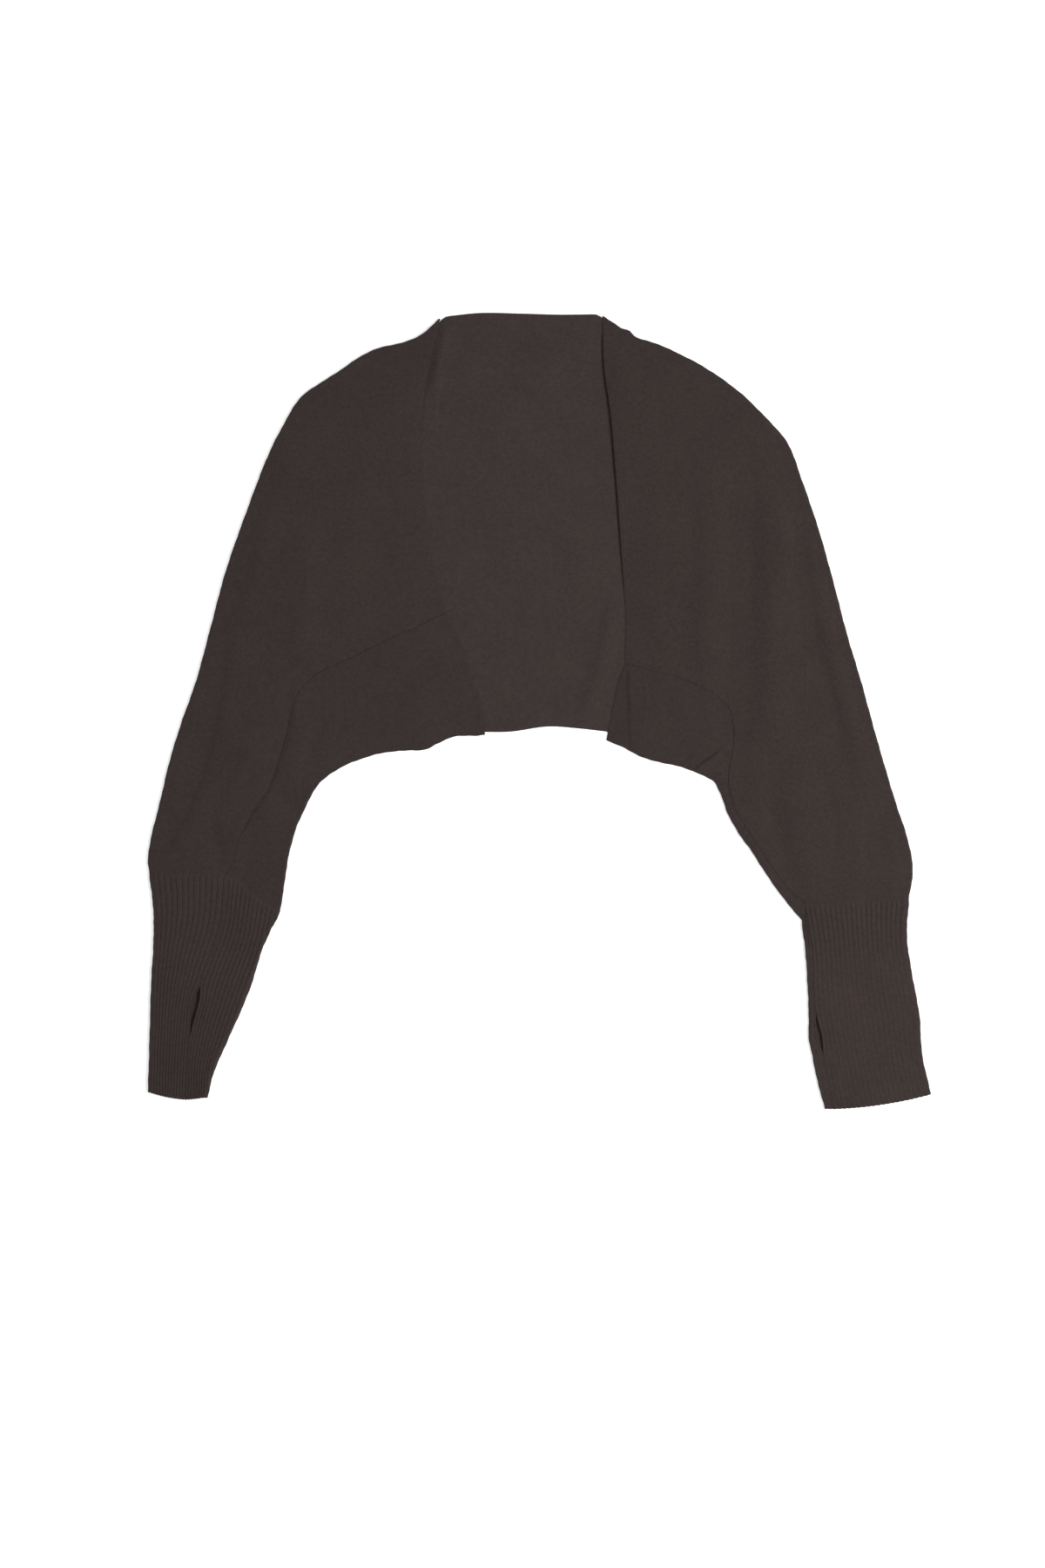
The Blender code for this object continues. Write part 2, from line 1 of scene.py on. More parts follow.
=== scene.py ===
"""Looks of the knitted shrug, laid flat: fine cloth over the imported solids.

Left and right are as seen from above, with the neck at +Y. Lengths are in metres.
"""
import math
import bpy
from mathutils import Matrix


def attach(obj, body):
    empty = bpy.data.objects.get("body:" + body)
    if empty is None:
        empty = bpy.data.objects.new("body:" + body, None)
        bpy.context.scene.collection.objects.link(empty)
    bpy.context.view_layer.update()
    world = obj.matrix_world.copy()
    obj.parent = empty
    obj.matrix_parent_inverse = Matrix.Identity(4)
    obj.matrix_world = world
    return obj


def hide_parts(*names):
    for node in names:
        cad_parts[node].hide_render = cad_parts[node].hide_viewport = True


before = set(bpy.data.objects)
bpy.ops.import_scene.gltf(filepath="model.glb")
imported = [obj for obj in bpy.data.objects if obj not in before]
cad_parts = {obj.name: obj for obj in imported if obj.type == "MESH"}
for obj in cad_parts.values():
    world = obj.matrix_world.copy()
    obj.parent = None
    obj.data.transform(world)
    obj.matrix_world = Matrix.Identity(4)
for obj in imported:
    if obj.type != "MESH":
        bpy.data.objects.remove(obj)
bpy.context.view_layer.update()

from types import SimpleNamespace

import bpy
import numpy as np

# Cloth, the walls and gaps that it shares with the solids, and how much fuller its outline is
CLOTH = 0.0013
RIB_CLOTH = 0.0013
WALL = 0.0020
SEAM_GAP = 0.0003
LEAST_GAP = 0.0002
FULLER = 0.0007

# Puff of the upper layer on a sleeve and on a cuff, how wide it grows beside a closed edge, and the y from
# which the cuff's becomes the sleeve's, over which length
SLEEVE_PUFF = 0.0018
CUFF_PUFF = 0.0009
PUFF_WIDTH = 0.016
CUFF_PUFF_END = -0.240
CUFF_PUFF_RAMP = 0.080

# How softly the upper layer and the back come to rest on what lies under them
CONTACT_SOFTNESS = 0.0004
BACK_CONTACT = 0.0004

# Left cuff: rise of its upper layer over the part that is turned under, width of that rise, and share of
# the cuff over which it grows. Then the turned strip's width, a layer's height and the slope beside it
FOLD_UNDER = 0.0028
FOLD_UNDER_WIDTH = 0.018
FOLD_UNDER_RAMP = 0.62
TURNED_STRIP = 0.005
TURNED_LAYER = 0.0015
TURNED_SLOPE = 0.012

# How far folds and creases run past their lines and how fast they fade out, as shares of the line
FOLD_OVERRUN = 0.12
FOLD_FADE = 0.35

# How late a grid takes the curve of its end edge, and how near to the corners it corrects it
BOW_POWER = 4
END_POWER = 12

# Where a sleeve opens into the hem, in sections: lead, length of the change, and length of the hem's rise
OPENING_LEAD = 0.6
OPENING_RAMP = 1.6
HEM_RAMP_SECTIONS = 5

# Thumb slits: how pointed they are, and how many ribs beside them give way
SLIT_TAPER = 1.7
SLIT_RIBS = 2.6

# Ribs: height on top and where they are pressed flat, the height over the floor up to which they are, the
# change from one to the other, width, how blunt they are, and how they start at the sleeve and calm down
RIB_HEIGHT = 0.0008
PRESSED_RIB = 0.00035
PRESSED_UP_TO = 0.0005
PRESSED_RAMP = 0.0020
RIB_PITCH = 0.0045
RIB_SHARPNESS = 0.45
RIB_START = 0.004
RIB_CALM_RUN = 0.060

# Cuff hems: bow between the corners, how far each rib stands out, over which length, and the mean rib
CUFF_HEM_BOW = 0.0030
HEM_SCALLOP = 0.0005
HEM_SCALLOP_RUN = 0.004
MEAN_CREST = 0.6

# Mesh steps
ROWS_PER_SECTION = 12
ROWS_PER_NECK_SECTION = 12
UPPER_COLUMNS = 66
LOWER_COLUMNS = 34
BACK_COLUMNS = 80
ARC_COLUMNS = 9
CUFF_ROWS = 95
COLUMNS_PER_RIB = 8
BEND_POINTS = 17
LAST_POINTS = 50
PLAIN_POINTS = 60
TURNED_POINTS = 90
STRIP_POINTS = 8
LINE_POINTS = 13
FOLD_POINTS = 9
CREASE_POINTS = 17
CROWDING = 0.45
SMOOTH_ANGLE = math.radians(60)

# How round the cloth's edges are: free, at a seam, at a cuff's seam, and where a sleeve runs on into its
# cuff. Then the angles of an edge's points, in degrees
FREE_EDGE = 1.0
SEAM_EDGE = 0.35
LIP_EDGE = 0.12
JOINED_EDGE = 0.0
RIM_ANGLES = (40, 90, 140)

# Middle of the outline in the tables below, which is the origin
MIDDLE = (0.00075, 0.00035)

# Sections across each flattened sleeve and front, from the cuff to the opening edge, in mm:
# outer_x, outer_y, seam_x, seam_y, inner_x, inner_y
LEFT_SECTIONS = (
    (-357, -148, -286, -148.5, -238, -184.5),
    (-358, -135, -280.5, -139, -234, -159),
    (-355, -115, -274, -115, -230, -132.5),
    (-347, -83, -258, -87, -223, -107),
    (-338.5, -47, -246, -67.5, -214.5, -88),
    (-327.5, -11, -238, -44.5, -206, -72),
    (-313.5, 29, -231, -20.5, -194.5, -59.5),
    (-300.5, 77, -226, 1, -180.5, -50.5),
    (-286.5, 129, -220.5, 17, -166.5, -44.5),
    (-268, 182, -209, 30, -151, -39.5),
    (-248.5, 233, -192.5, 40.5, -135, -36.5),
    (-231, 267.5, -172.5, 49, -119, -35.5),
    (-216.5, 289, -152.5, 59, -104, -34.5),
    (-187, 309, -133, 68.5, -92.5, -29),
    (-154, 330, -115.5, 75.5, -79, -23),
    (-120.5, 339, -99, 84.5, -64.5, -22),
    (-104.5, 347.5, -91.5, 87.5, -56.5, -22),
    (-91.5, 361, -85, 91, -49, -21.5),
)
RIGHT_SECTIONS = (
    (339.5, -171, 245, -177, 242, -191.5),
    (343, -145, 231, -165, 225, -171),
    (338, -116.5, 215.5, -145, 210, -150),
    (327.5, -84.5, 202, -124.5, 196.5, -129),
    (315.5, -44.5, 190.5, -107, 184, -111.5),
    (306, -11, 181, -91, 174.5, -94.5),
    (295.5, 27.5, 175, -73, 169, -79.5),
    (282.5, 71, 174.5, -55, 163, -67),
    (270, 119, 178, -36.5, 154, -60),
    (256.5, 167, 179, -19, 142, -54.5),
    (240.5, 214, 176.5, -2, 128.5, -50),
    (228, 246, 169, 9, 115, -47),
    (205, 272.5, 156.5, 18, 103.5, -44.5),
    (181, 295, 142, 25, 94, -41),
    (149, 317, 127, 31.5, 86, -37),
    (111.5, 335.5, 105, 37, 75.5, -31.5),
    (87, 344, 93, 40.5, 68.5, -29),
    (59.5, 364, 79, 43.5, 62, -26),
)

# Sections of the back between the two neck points, in mm: neck_x, neck_y, hem_x, hem_y
NECK_SECTIONS = (
    (-91.5, 361, -49, -18.5),
    (-54, 365, -24.5, -18),
    (-16.5, 364.5, 7.5, -13.5),
    (21, 363.5, 35, -15),
    (59.5, 364, 62, -18),
)

# Folds of the upper layer, in mm: half width, height, then start, middle and end of the centre line.
# A trough has a negative height
FRONT_FOLDS = (
    (8.5, -5.6, -292, 56, -313, -40, -337, -112),
    (8, -1.3, -236, 238, -258, 165, -284, 90),
    (10, 2.0, -236, 232, -260, 160, -283, 90),
    (32, 2.8, -226, 170, -234, 40, -258, -90),
    (12, -0.8, -268, 150, -277, 100, -290, 60),
    (4.5, -2.3, -227, 18, -235, -30, -251, -76),
    (10, 1.8, -211, 1, -218, -35, -228, -66),
    (7, -2.4, -243, -72, -231, -79, -217, -86),
    (13, 2.0, -216, 190, -216, 109, -218, 46),
    (16, 2.4, 158, 236, 158, 110, 160, 0),
    (17, -3.2, 186, 240, 185, 110, 177, -56),
    (17, 3.4, 218, 210, 219, 100, 214, -30),
    (11, -3.0, 238, 190, 250, 70, 284, -40),
    (12, 2.6, 245, 190, 268, 80, 307, -70),
    (10, -1.6, 212, -66, 216, -107, 230, -160),
    (16, 2.2, 232, -40, 240, -100, 256, -160),
    (11, -4.6, 309, -97, 310, -145, 307, -192),
    (4, -6.0, 144, -58, 155, -49, 168, -39),
    (10, -2.0, 178, 6, 178, -36, 186, -88),
)

# Raised folds of the back between the fronts, in mm, in the same columns
BACK_FOLDS = (
    (9, 2.8, 71, 104, 58, 48, 41, -10),
    (40, 0.5, -30, 250, -30, 120, -12, 20),
)

# Smaller creases of the upper layer and the back's inside, and those pressed into the underside
SMALL_FOLDS = (
    (5, -1.0, -217, 51, -235, 43, -255, 30),
    (8, -0.8, -213, 138, -220, 116, -226, 92),
    (12, 0.8, -150, 260, -168, 190, -170, 130),
    (9, -0.7, -128, 230, -140, 180, -146, 120),
    (14, 0.9, -240, 200, -262, 120, -280, 40),
    (6, -0.7, -262, 150, -270, 118, -285, 84),
    (4, -0.6, -127, 22, -128, 4, -131, -18),
    (4, -0.5, -146, 8, -147, -8, -149, -27),
    (5, -0.7, -96, 34, -92, 6, -87, -14),
    (6, 0.6, -111, 36, -110, 8, -108, -20),
    (5, 0.6, -166, 22, -170, 2, -172, -28),
    (4, -0.9, -196, -4, -203, -22, -214, -46),
    (6, 0.8, -262, -20, -275, -62, -290, -96),
    (5, -0.8, -300, -92, -296, -118, -290, -140),
    (7, 0.7, -268, -100, -276, -120, -282, -146),
    (10, 0.8, 96, 300, 106, 230, 108, 150),
    (8, -0.7, 128, 270, 140, 200, 142, 120),
    (12, 0.9, 150, 120, 152, 70, 150, 40),
    (7, -0.8, 214, 180, 222, 110, 226, 40),
    (6, 0.7, 262, 60, 280, -10, 296, -70),
    (5, -0.9, 254, -40, 268, -84, 276, -128),
    (6, 0.7, 290, -96, 296, -128, 298, -160),
    (5, -0.7, 118, 26, 120, 2, 124, -34),
    (5, 0.5, 132, 20, 136, -6, 142, -34),
    (4, -0.8, 196, -104, 204, -128, 222, -160),
    (6, -0.9, 110, 330, 128, 312, 140, 286),
    (5, -0.8, 84, 344, 92, 322, 96, 296),
    (6, -0.8, -112, 338, -126, 316, -134, 288),
    (3, -1.2, -248, -71, -262, -90, -274, -114),
    (4, -1.8, -331, -90, -336, -108, -342, -128),
)
BACK_CREASES = (
    (8, 0.6, -84, 312, -20, 317, 54, 311),
    (9, 0.5, -88, 288, -15, 284, 56, 289),
    (14, 0.5, -60, 190, -30, 150, -6, 96),
    (10, 0.4, 20, 200, 30, 150, 36, 100),
    (7, 0.5, -70, 40, -40, 26, -14, -4),
    (5, 2.2, -82, 362, -91, 322, -97, 288),
)
UNDER_FOLDS = (
    (9, 0.5, -285, 61, -307, -35, -330, -115),
    (7, 0.4, -240, 40, -262, -30, -276, -96),
    (12, 0.5, -201, 230, -208, 120, -214, 30),
    (8, 0.4, -150, 300, -160, 200, -150, 90),
    (10, 0.5, 200, 221, 205, 101, 210, -3),
    (8, 0.5, 236, 133, 262, 37, 296, -107),
    (7, 0.4, 150, 260, 160, 150, 150, 30),
    (6, 0.5, 238, -60, 244, -110, 262, -150),
)

# Sharp creases, where the cloth steps up to the right, in mm: width of the step, half width of the slope
# behind it, height, then start, middle and end of its line, from the lowest point up
CREASES = (
    (1.6, 13, 1.3, 85.5, -40, 83.5, 5, 82.5, 46),
    (6.0, 20, 1.5, -252, -78, -236, -30, -226, 20),
    (2.6, 8, 2.9, 143, -54, 155, -46, 169, -36),
)

# Unevenness of the whole cloth: height, number of waves, shortest one, range of their lengths, waves that
# they are shifted at most, and the back's share
UNEVEN = 0.00016
WAVE_COUNT = 36
SHORTEST_WAVE = 0.030
WAVE_RANGE = 0.065
WAVE_SHIFT = 7
BACK_UNEVEN = 0.7

# Roll inside a free edge: height, its place and half width, then the drop at the edge and its half width
EDGE_ROLL = 0.0002
ROLL_PLACE = 0.003
ROLL_WIDTH = 0.0022
ROLL_DROP = 0.7
ROLL_DROP_WIDTH = 0.0012

# Puckers beside a seam: height, length, reach, and the lengths over which they drift and swell
PUCKER = 0.00035
PUCKER_LENGTH = 0.0085
PUCKER_REACH = 0.005
PUCKER_DRIFT = 0.047
PUCKER_SWELL = 0.083

# Small waves of the outline: height and their two lengths
EDGE_WAVE = 0.00012
EDGE_WAVE_LENGTHS = (0.0113, 0.0267)

# Lump at the right end of the neck, in mm: x, y, half width, how far it stands out
NECK_LUMP = (82.8, 348.0, 4.5, 2.8)

# Opening edges: width of the strip that sinks onto the back and of the one that stands off it, and how
# much thinner the cloth is at the edge, over which width
EDGE_REST_WIDTH = 0.030
EDGE_LIFT_WIDTH = 0.020
THIN_EDGE = (0.7, 0.008)

# Slack of an edge that isn't folded, and the length over which a fold turns into the cuff's
EDGE_SLACK = 0.0006
JOINT_BLEND = 0.015

# How far inside the outline the back's cloth ends: under the folded-over fronts, and where its edge is
# free, and how the first fades out along the neck
FOLD_INSET = 0.0034
FREE_INSET = CLOTH / 2 - FULLER
NECK_RAMP = 0.004

# The two sides. Lines in mm, evenly spaced: opening edge from the seam up to the neck and from the hem up
# to the seam, cuff lines from the sleeve down. Hem: section where the sleeve opens into it, rise of the
# back's hem, height and width of the sag. Opening edge, by y in mm: share by which it sinks onto the back,
# and mm that it stands off it. Slit: start and end as shares of the cuff, half width, power that moves its
# widest place. Ribs: number from slit to outer fold and on round to the slit, strength further down.
# Grain: degrees that the front's wales lean
LEFT = SimpleNamespace(
    name="left",
    sections=LEFT_SECTIONS,
    upper_edge=(
        (-85, 91), (-97, 135.5), (-103.5, 180.5), (-107, 225), (-107, 271), (-101, 315.5), (-91.5, 361),
    ),
    lower_edge=((-49, -21.5), (-54, 7), (-61.5, 35), (-71.5, 63), (-85, 91)),
    cuff_outer=((-357, -148), (-353, -182), (-353, -216), (-355, -250), (-356.5, -300), (-358, -349)),
    cuff_seam=(
        (-286, -148.5), (-291, -196), (-307.5, -243), (-316.5, -277), (-321.5, -315), (-323, -353),
    ),
    cuff_inner=((-238, -184.5), (-253, -215), (-266, -255), (-282, -293), (-298, -329), (-304.5, -354)),
    hem_start=5,
    hem_rise=0.003,
    hem_droop=(0.0022, 0.009),
    edge_rest=((-21, 1.0), (225, 1.0), (280, 0.8), (318, 0.2), (345, 0.2), (361, 0.8)),
    edge_lift=((-21, 0.6), (91, 0.5), (225, 0.5), (290, 1.6), (318, 3.2), (345, 2.4), (361, 0.2)),
    slit=(0.45, 0.74, 0.0026, 0.62),
    turned_under=True,
    outer_ribs=13,
    round_ribs=38.5,
    rib_calm=0.85,
    grain=7,
)
RIGHT = SimpleNamespace(
    name="right",
    sections=RIGHT_SECTIONS,
    upper_edge=(
        (79, 43.5), (79.5, 89), (76.5, 135), (73.5, 181),
        (70, 227), (66, 272.5), (60, 318), (59.5, 364),
    ),
    lower_edge=((62, -26), (65.5, -8.5), (69, 9), (72.5, 26), (79, 43.5)),
    cuff_outer=((339.5, -171), (337.5, -207), (342.5, -243), (349, -279), (351.5, -315), (359.5, -351)),
    cuff_seam=(
        (245, -177), (252, -219.5), (253, -255.5), (256.5, -291.5), (264.5, -327.5), (271.5, -363.5),
    ),
    cuff_inner=((242, -191.5), (246, -226), (248, -260.5), (249.5, -295), (254.5, -330), (263.5, -364.5)),
    hem_start=7,
    hem_rise=0.008,
    hem_droop=(0.0030, 0.007),
    edge_rest=(
        (-26, 1.0), (95, 1.0), (125, 0.8), (165, 0.6), (220, 0.6), (300, 0.6), (345, 0.7), (364, 1.0),
    ),
    edge_lift=(
        (-26, 1.0), (43, 1.2), (130, 1.6), (180, 2.0), (225, 3.2), (275, 3.6), (335, 2.4), (364, 0.2),
    ),
    slit=(0.49, 0.73, 0.0021, 1.35),
    turned_under=False,
    outer_ribs=20,
    round_ribs=24.5,
    rib_calm=0.6,
    grain=-7,
)

# Knit: width of a wale, a course's height as a share of it, and linear colours
WALE = 0.0016
COURSE_SHARE = 0.74
KNIT_COLOUR = (0.0474, 0.0345, 0.0318)
INSIDE_COLOUR = (0.0517, 0.0382, 0.0353)
RIB_COLOUR = (0.0483, 0.0352, 0.0324)

# Stitches: strength and depth of their relief, noise scale and share of the fuzz, noise scale and size of
# the wales' wandering, slant of a leg, lowest part of a knit and a purl stitch, and lower fronts' lines
BUMP_STRENGTH = 0.65
BUMP_DEPTH = 0.00045
FUZZ_SCALE = 2600
FUZZ_SHARE = 0.5
WANDER_SCALE = 14
WANDER = 1.1
LEG_SLANT = 0.55
LOOP_LOW = 0.35
PURL_LOW = 0.55
LOWER_LINES = 0.8

# Shades of the colour: darkest, lightest and mean, the stitches' painted shade (darker in the grooves
# between the stitches, lighter on their crests), and mottling as scale and weight
DARKEST = 0.72
LIGHTEST = 1.28
MEAN_SHADE = 0.35
# Painted shade of the stitches: how much darker their grooves are than their crests, as a share of the
# colour's range
STITCH_PAINTED_SHADE = 0.25
MOTTLING = ((700, 0.9), (300, 0.9), (26, 0.4))
CLOTH_FINISH = {
    "Roughness": 0.92,
    "Specular IOR Level": 0.18,
    "Sheen Weight": 0.06,
    "Sheen Roughness": 0.6,
    "Sheen Tint": (0.62, 0.52, 0.48, 1.0),
}

# Studio
FLOOR_SIZE = 12
FLOOR_DROP = 0.0003
FLOOR_SHADES = (0.90, 0.92)
FLOOR_NOISE_SCALE = 3
FLOOR_FINISH = {
    "Roughness": 0.9,
    "Specular IOR Level": 0.1,
    "Emission Color": (1.0, 1.0, 1.0, 1.0),
    "Emission Strength": 0.5,
}
WORLD_STRENGTH = 0.115
CAMERA_PLACE = (-0.01555, -0.06715, 4.0)
CAMERA_LENS = 100
CAMERA_SENSOR = 36

# Lights: name, place, size in metres, power in watts
LIGHTS = (
    ("key", (1.5, -0.3, 2.3), 1.0, 56),
    ("fill", (-2.2, 0.3, 1.2), 1.6, 6),
    ("overhead", (0.0, 0.0, 5.0), 3.5, 58),
)


def metres(rows):
    """A table in mm as an array in metres."""
    return np.array(rows, float) * 0.001


def smooth_rows(rows, t):
    """Points on a smooth curve through the rows, where t counts rows."""
    rows = np.asarray(rows, float)
    padded = np.vstack([2 * rows[0] - rows[1], rows, 2 * rows[-1] - rows[-2]])
    i = np.clip(np.floor(t).astype(int), 0, len(rows) - 2)
    f = (t - i)[:, None]
    before, here, after, beyond = padded[i], padded[i + 1], padded[i + 2], padded[i + 3]
    bend = 2 * before - 5 * here + 4 * after - beyond
    twist = 3 * here - before - 3 * after + beyond
    return here + 0.5 * ((after - before) * f + bend * f**2 + twist * f**3)


def along(rows, share):
    """Points on the smooth curve through the rows, where share runs from 0 to 1."""
    return smooth_rows(rows, np.asarray(share, float) * (len(rows) - 1))


def ease(x):
    """Smooth step from 0 to 1."""
    x = np.clip(x, 0.0, 1.0)
    return x * x * (3.0 - 2.0 * x)


def unit(vectors):
    return vectors / np.maximum(np.linalg.norm(vectors, axis=-1, keepdims=True), 1e-12)


def distance_to(points, line):
    """Shortest distance from each point to a polyline, and the share of the line where it lies."""
    starts = line[:-1]
    steps = line[1:] - line[:-1]
    offset = points[..., None, :] - starts
    length2 = np.maximum((steps**2).sum(-1), 1e-12)
    share = np.clip((offset * steps).sum(-1) / length2, 0.0, 1.0)
    gap = np.sqrt(((offset - share[..., None] * steps) ** 2).sum(-1))
    nearest = gap.argmin(-1)
    place = (nearest + np.take_along_axis(share, nearest[..., None], -1)[..., 0]) / len(steps)
    return gap.min(-1), place


def fold_fade(place):
    """How a fold fades out towards its two ends, by the share of its line."""
    return ease((FOLD_OVERRUN + place) / FOLD_FADE) * ease((1 + FOLD_OVERRUN - place) / FOLD_FADE)


def fold_height(points, folds):
    """Sum of soft ridges and troughs, each one fading out at its two ends."""
    total = np.zeros(points.shape[:-1])
    for half_width, height, *line in folds:
        centre = along(metres(line).reshape(3, 2), np.linspace(0, 1, FOLD_POINTS))
        gap, place = distance_to(points, centre)
        total += 0.001 * height * fold_fade(place) * np.exp(-((gap / (0.001 * half_width)) ** 2))
    return total


def crease_height(points):
    """Sum of the sharp creases: a steep step up to the right, and a soft slope behind it."""
    total = np.zeros(points.shape[:-1])
    for step, run, height, *line in CREASES:
        centre = along(metres(line).reshape(3, 2), np.linspace(0, 1, CREASE_POINTS))
        gap, place = distance_to(points, centre)
        right_of = points[..., 0] - np.interp(points[..., 1], centre[:, 1], centre[:, 0])
        slope = np.exp(-((gap / (0.001 * run)) ** 2))
        profile = np.where(right_of < 0, ease(1 - gap / (0.001 * step)), slope)
        total += 0.001 * height * fold_fade(place) * profile
    return total


def side_lines(sections, stations):
    """Outer, seam and inner lines of one side, from the cuff to the opening edge."""
    rows = smooth_rows(metres(sections), stations)
    return rows[:, 0:2], rows[:, 2:4], rows[:, 4:6]


def all_stations(sections, per_section):
    """Places between the sections, counted in sections, so many a section."""
    return np.linspace(0, len(sections) - 1, (len(sections) - 1) * per_section + 1)


def closed_edges():
    """Folded and sewn edges, where the two layers meet."""
    lines = []
    share = np.linspace(0, 1, LINE_POINTS)
    for side in (LEFT, RIGHT):
        outer, _, inner = side_lines(side.sections, all_stations(side.sections, 2))
        lines.append(np.vstack([along(metres(side.cuff_outer), share)[::-1], outer]))
        sleeve = inner[: side.hem_start * 2 + 1]
        lines.append(np.vstack([along(metres(side.cuff_inner), share)[::-1], sleeve]))
    return lines


CLOSED_EDGES = closed_edges()
WAVES = np.random.default_rng(11).uniform(size=(WAVE_COUNT, 3))


def uneven(points):
    """Soft unevenness of cloth laid out by hand, about zero."""
    total = np.zeros(points.shape[:-1])
    for turn, length, shift in WAVES:
        wavelength = SHORTEST_WAVE + WAVE_RANGE * length
        direction = np.array([math.cos(math.pi * turn), math.sin(math.pi * turn)])
        total += np.sin(2 * math.pi * (points @ direction / wavelength + shift * WAVE_SHIFT))
    return UNEVEN * total / math.sqrt(len(WAVES) / 2)


def back_arch(points):
    """Height of the lower layer's underside: flat, but for the folds between the fronts."""
    return np.maximum(fold_height(points, BACK_FOLDS) - BACK_CONTACT, 0.0)


def back_rise(points):
    """Height of the back's underside, with its small creases."""
    creases = fold_height(points, BACK_CREASES) + fold_height(points, UNDER_FOLDS)
    return back_arch(points) + creases + np.maximum(BACK_UNEVEN * uneven(points), 0.0)


def fold_under(points, side):
    """Rise of a cuff's upper layer over the part that is turned under its inner edge."""
    gap, place = distance_to(points, along(metres(side.cuff_inner), np.linspace(0, 1, LINE_POINTS)))
    return FOLD_UNDER * ease(place / FOLD_UNDER_RAMP) * np.exp(-((gap / FOLD_UNDER_WIDTH) ** 2))


def edge_lift(points, side):
    """How far a side's opening edge stands off the back."""
    line = np.vstack([metres(side.lower_edge)[:-1], metres(side.upper_edge)])
    gap, _ = distance_to(points, line)
    lifts = metres(side.edge_lift)
    lift = np.interp(points[..., 1], lifts[:, 0], lifts[:, 1])
    return lift * np.exp(-((gap / EDGE_LIFT_WIDTH) ** 2))


def stand_off(points, puff):
    """How far the upper layer stands off the lower one."""
    gap = np.min([distance_to(points, line)[0] for line in CLOSED_EDGES], axis=0)
    free = 1.0 - np.exp(-((gap / PUFF_WIDTH) ** 2))
    folds = fold_height(points, FRONT_FOLDS) + fold_height(points, SMALL_FOLDS)
    raised = free * (puff + folds + uneven(points))
    soft = 0.5 * (raised + np.sqrt(raised**2 + CONTACT_SOFTNESS**2))
    return SEAM_GAP + soft + edge_lift(points, LEFT) + edge_lift(points, RIGHT)


def sleeve_middle(points):
    """Height of the middle of the upper layer's cloth on the fronts and sleeves."""
    return back_arch(points) + 2 * WALL + stand_off(points, SLEEVE_PUFF) - CLOTH / 2


def cuff_middle(points, side):
    """Height of the middle of the upper layer's cloth on a cuff, between its ribs."""
    share = ease((points[..., 1] - CUFF_PUFF_END) / CUFF_PUFF_RAMP)
    puff = CUFF_PUFF + (SLEEVE_PUFF - CUFF_PUFF) * share
    height = 2 * WALL + stand_off(points, puff) - RIB_CLOTH / 2
    return height + fold_under(points, side) if side.turned_under else height


def with_height(points, height):
    """The points with one more coordinate."""
    return np.concatenate([points, np.broadcast_to(height, points.shape[:-1])[..., None]], axis=-1)


def outward(line, other):
    """Level directions square to a line, away from another line."""
    tangent = np.gradient(line, axis=0)
    normal = unit(np.stack([-tangent[:, 1], tangent[:, 0]], axis=-1))
    return normal * np.sign(((line - other) * normal).sum(-1, keepdims=True))


def spread(count):
    """Shares from 0 to 1 that lie closer together near both ends."""
    even = np.linspace(0, 1, count)
    return (1 - CROWDING) * even + CROWDING * (0.5 - 0.5 * np.cos(math.pi * even))


def span(near, far, shares, end_edge=None):
    """Grid between two lines. Towards its last row the grid takes the curve of end_edge."""
    grid = near[:, None] * (1 - shares[:, None]) + far[:, None] * shares[:, None]
    if end_edge is None:
        return grid
    curve = along(metres(end_edge), shares)
    start, end = grid[-1, 0] - curve[0], grid[-1, -1] - curve[-1]
    curve += np.outer((1 - shares) ** END_POWER, start) + np.outer(shares**END_POWER, end)
    weight = np.linspace(0, 1, len(near)) ** BOW_POWER
    return grid + weight[:, None, None] * (curve - grid[-1])


def run_length(line):
    """Length along a line up to each of its points."""
    steps = np.linalg.norm(np.diff(line, axis=0), axis=-1)
    return np.concatenate([[0.0], np.cumsum(steps)])


def pucker(seam, gap):
    """Small crosswise puckers beside a seam, where gap is the distance from it."""
    place = run_length(seam)[:, None]
    drift = 1.5 * np.sin(2 * math.pi * place / PUCKER_DRIFT)
    wave = np.sin(2 * math.pi * place / PUCKER_LENGTH + drift)
    swell = 0.6 + 0.4 * np.sin(2 * math.pi * place / PUCKER_SWELL + 1.0)
    return PUCKER * wave * swell * np.exp(-((gap / PUCKER_REACH) ** 2))


def boundary(rows, columns):
    """Row and column numbers of a grid's edge, once round it."""
    row = np.arange(rows - 1)
    column = np.arange(columns - 1)
    i = [0 * column, row, 0 * column + rows - 1, rows - 1 - row]
    j = [column, 0 * row + columns - 1, columns - 1 - column, 0 * row]
    return np.concatenate(i), np.concatenate(j)


def edge_out(across, down, i, j, rounding):
    """Directions in which a grid's edge is rounded, as long as the edge is round."""
    sides = (
        (i == 0, -down, "start"),
        (i == i.max(), down, "end"),
        (j == 0, -across, "near"),
        (j == j.max(), across, "far"),
    )
    total = np.zeros((len(i), 3))
    size = np.zeros(len(i))
    for on_side, direction, side in sides:
        total += np.where(on_side[:, None], direction * rounding[side], 0.0)
        size = np.where(on_side, np.maximum(size, rounding[side]), size)
    return unit(total) * size[:, None]


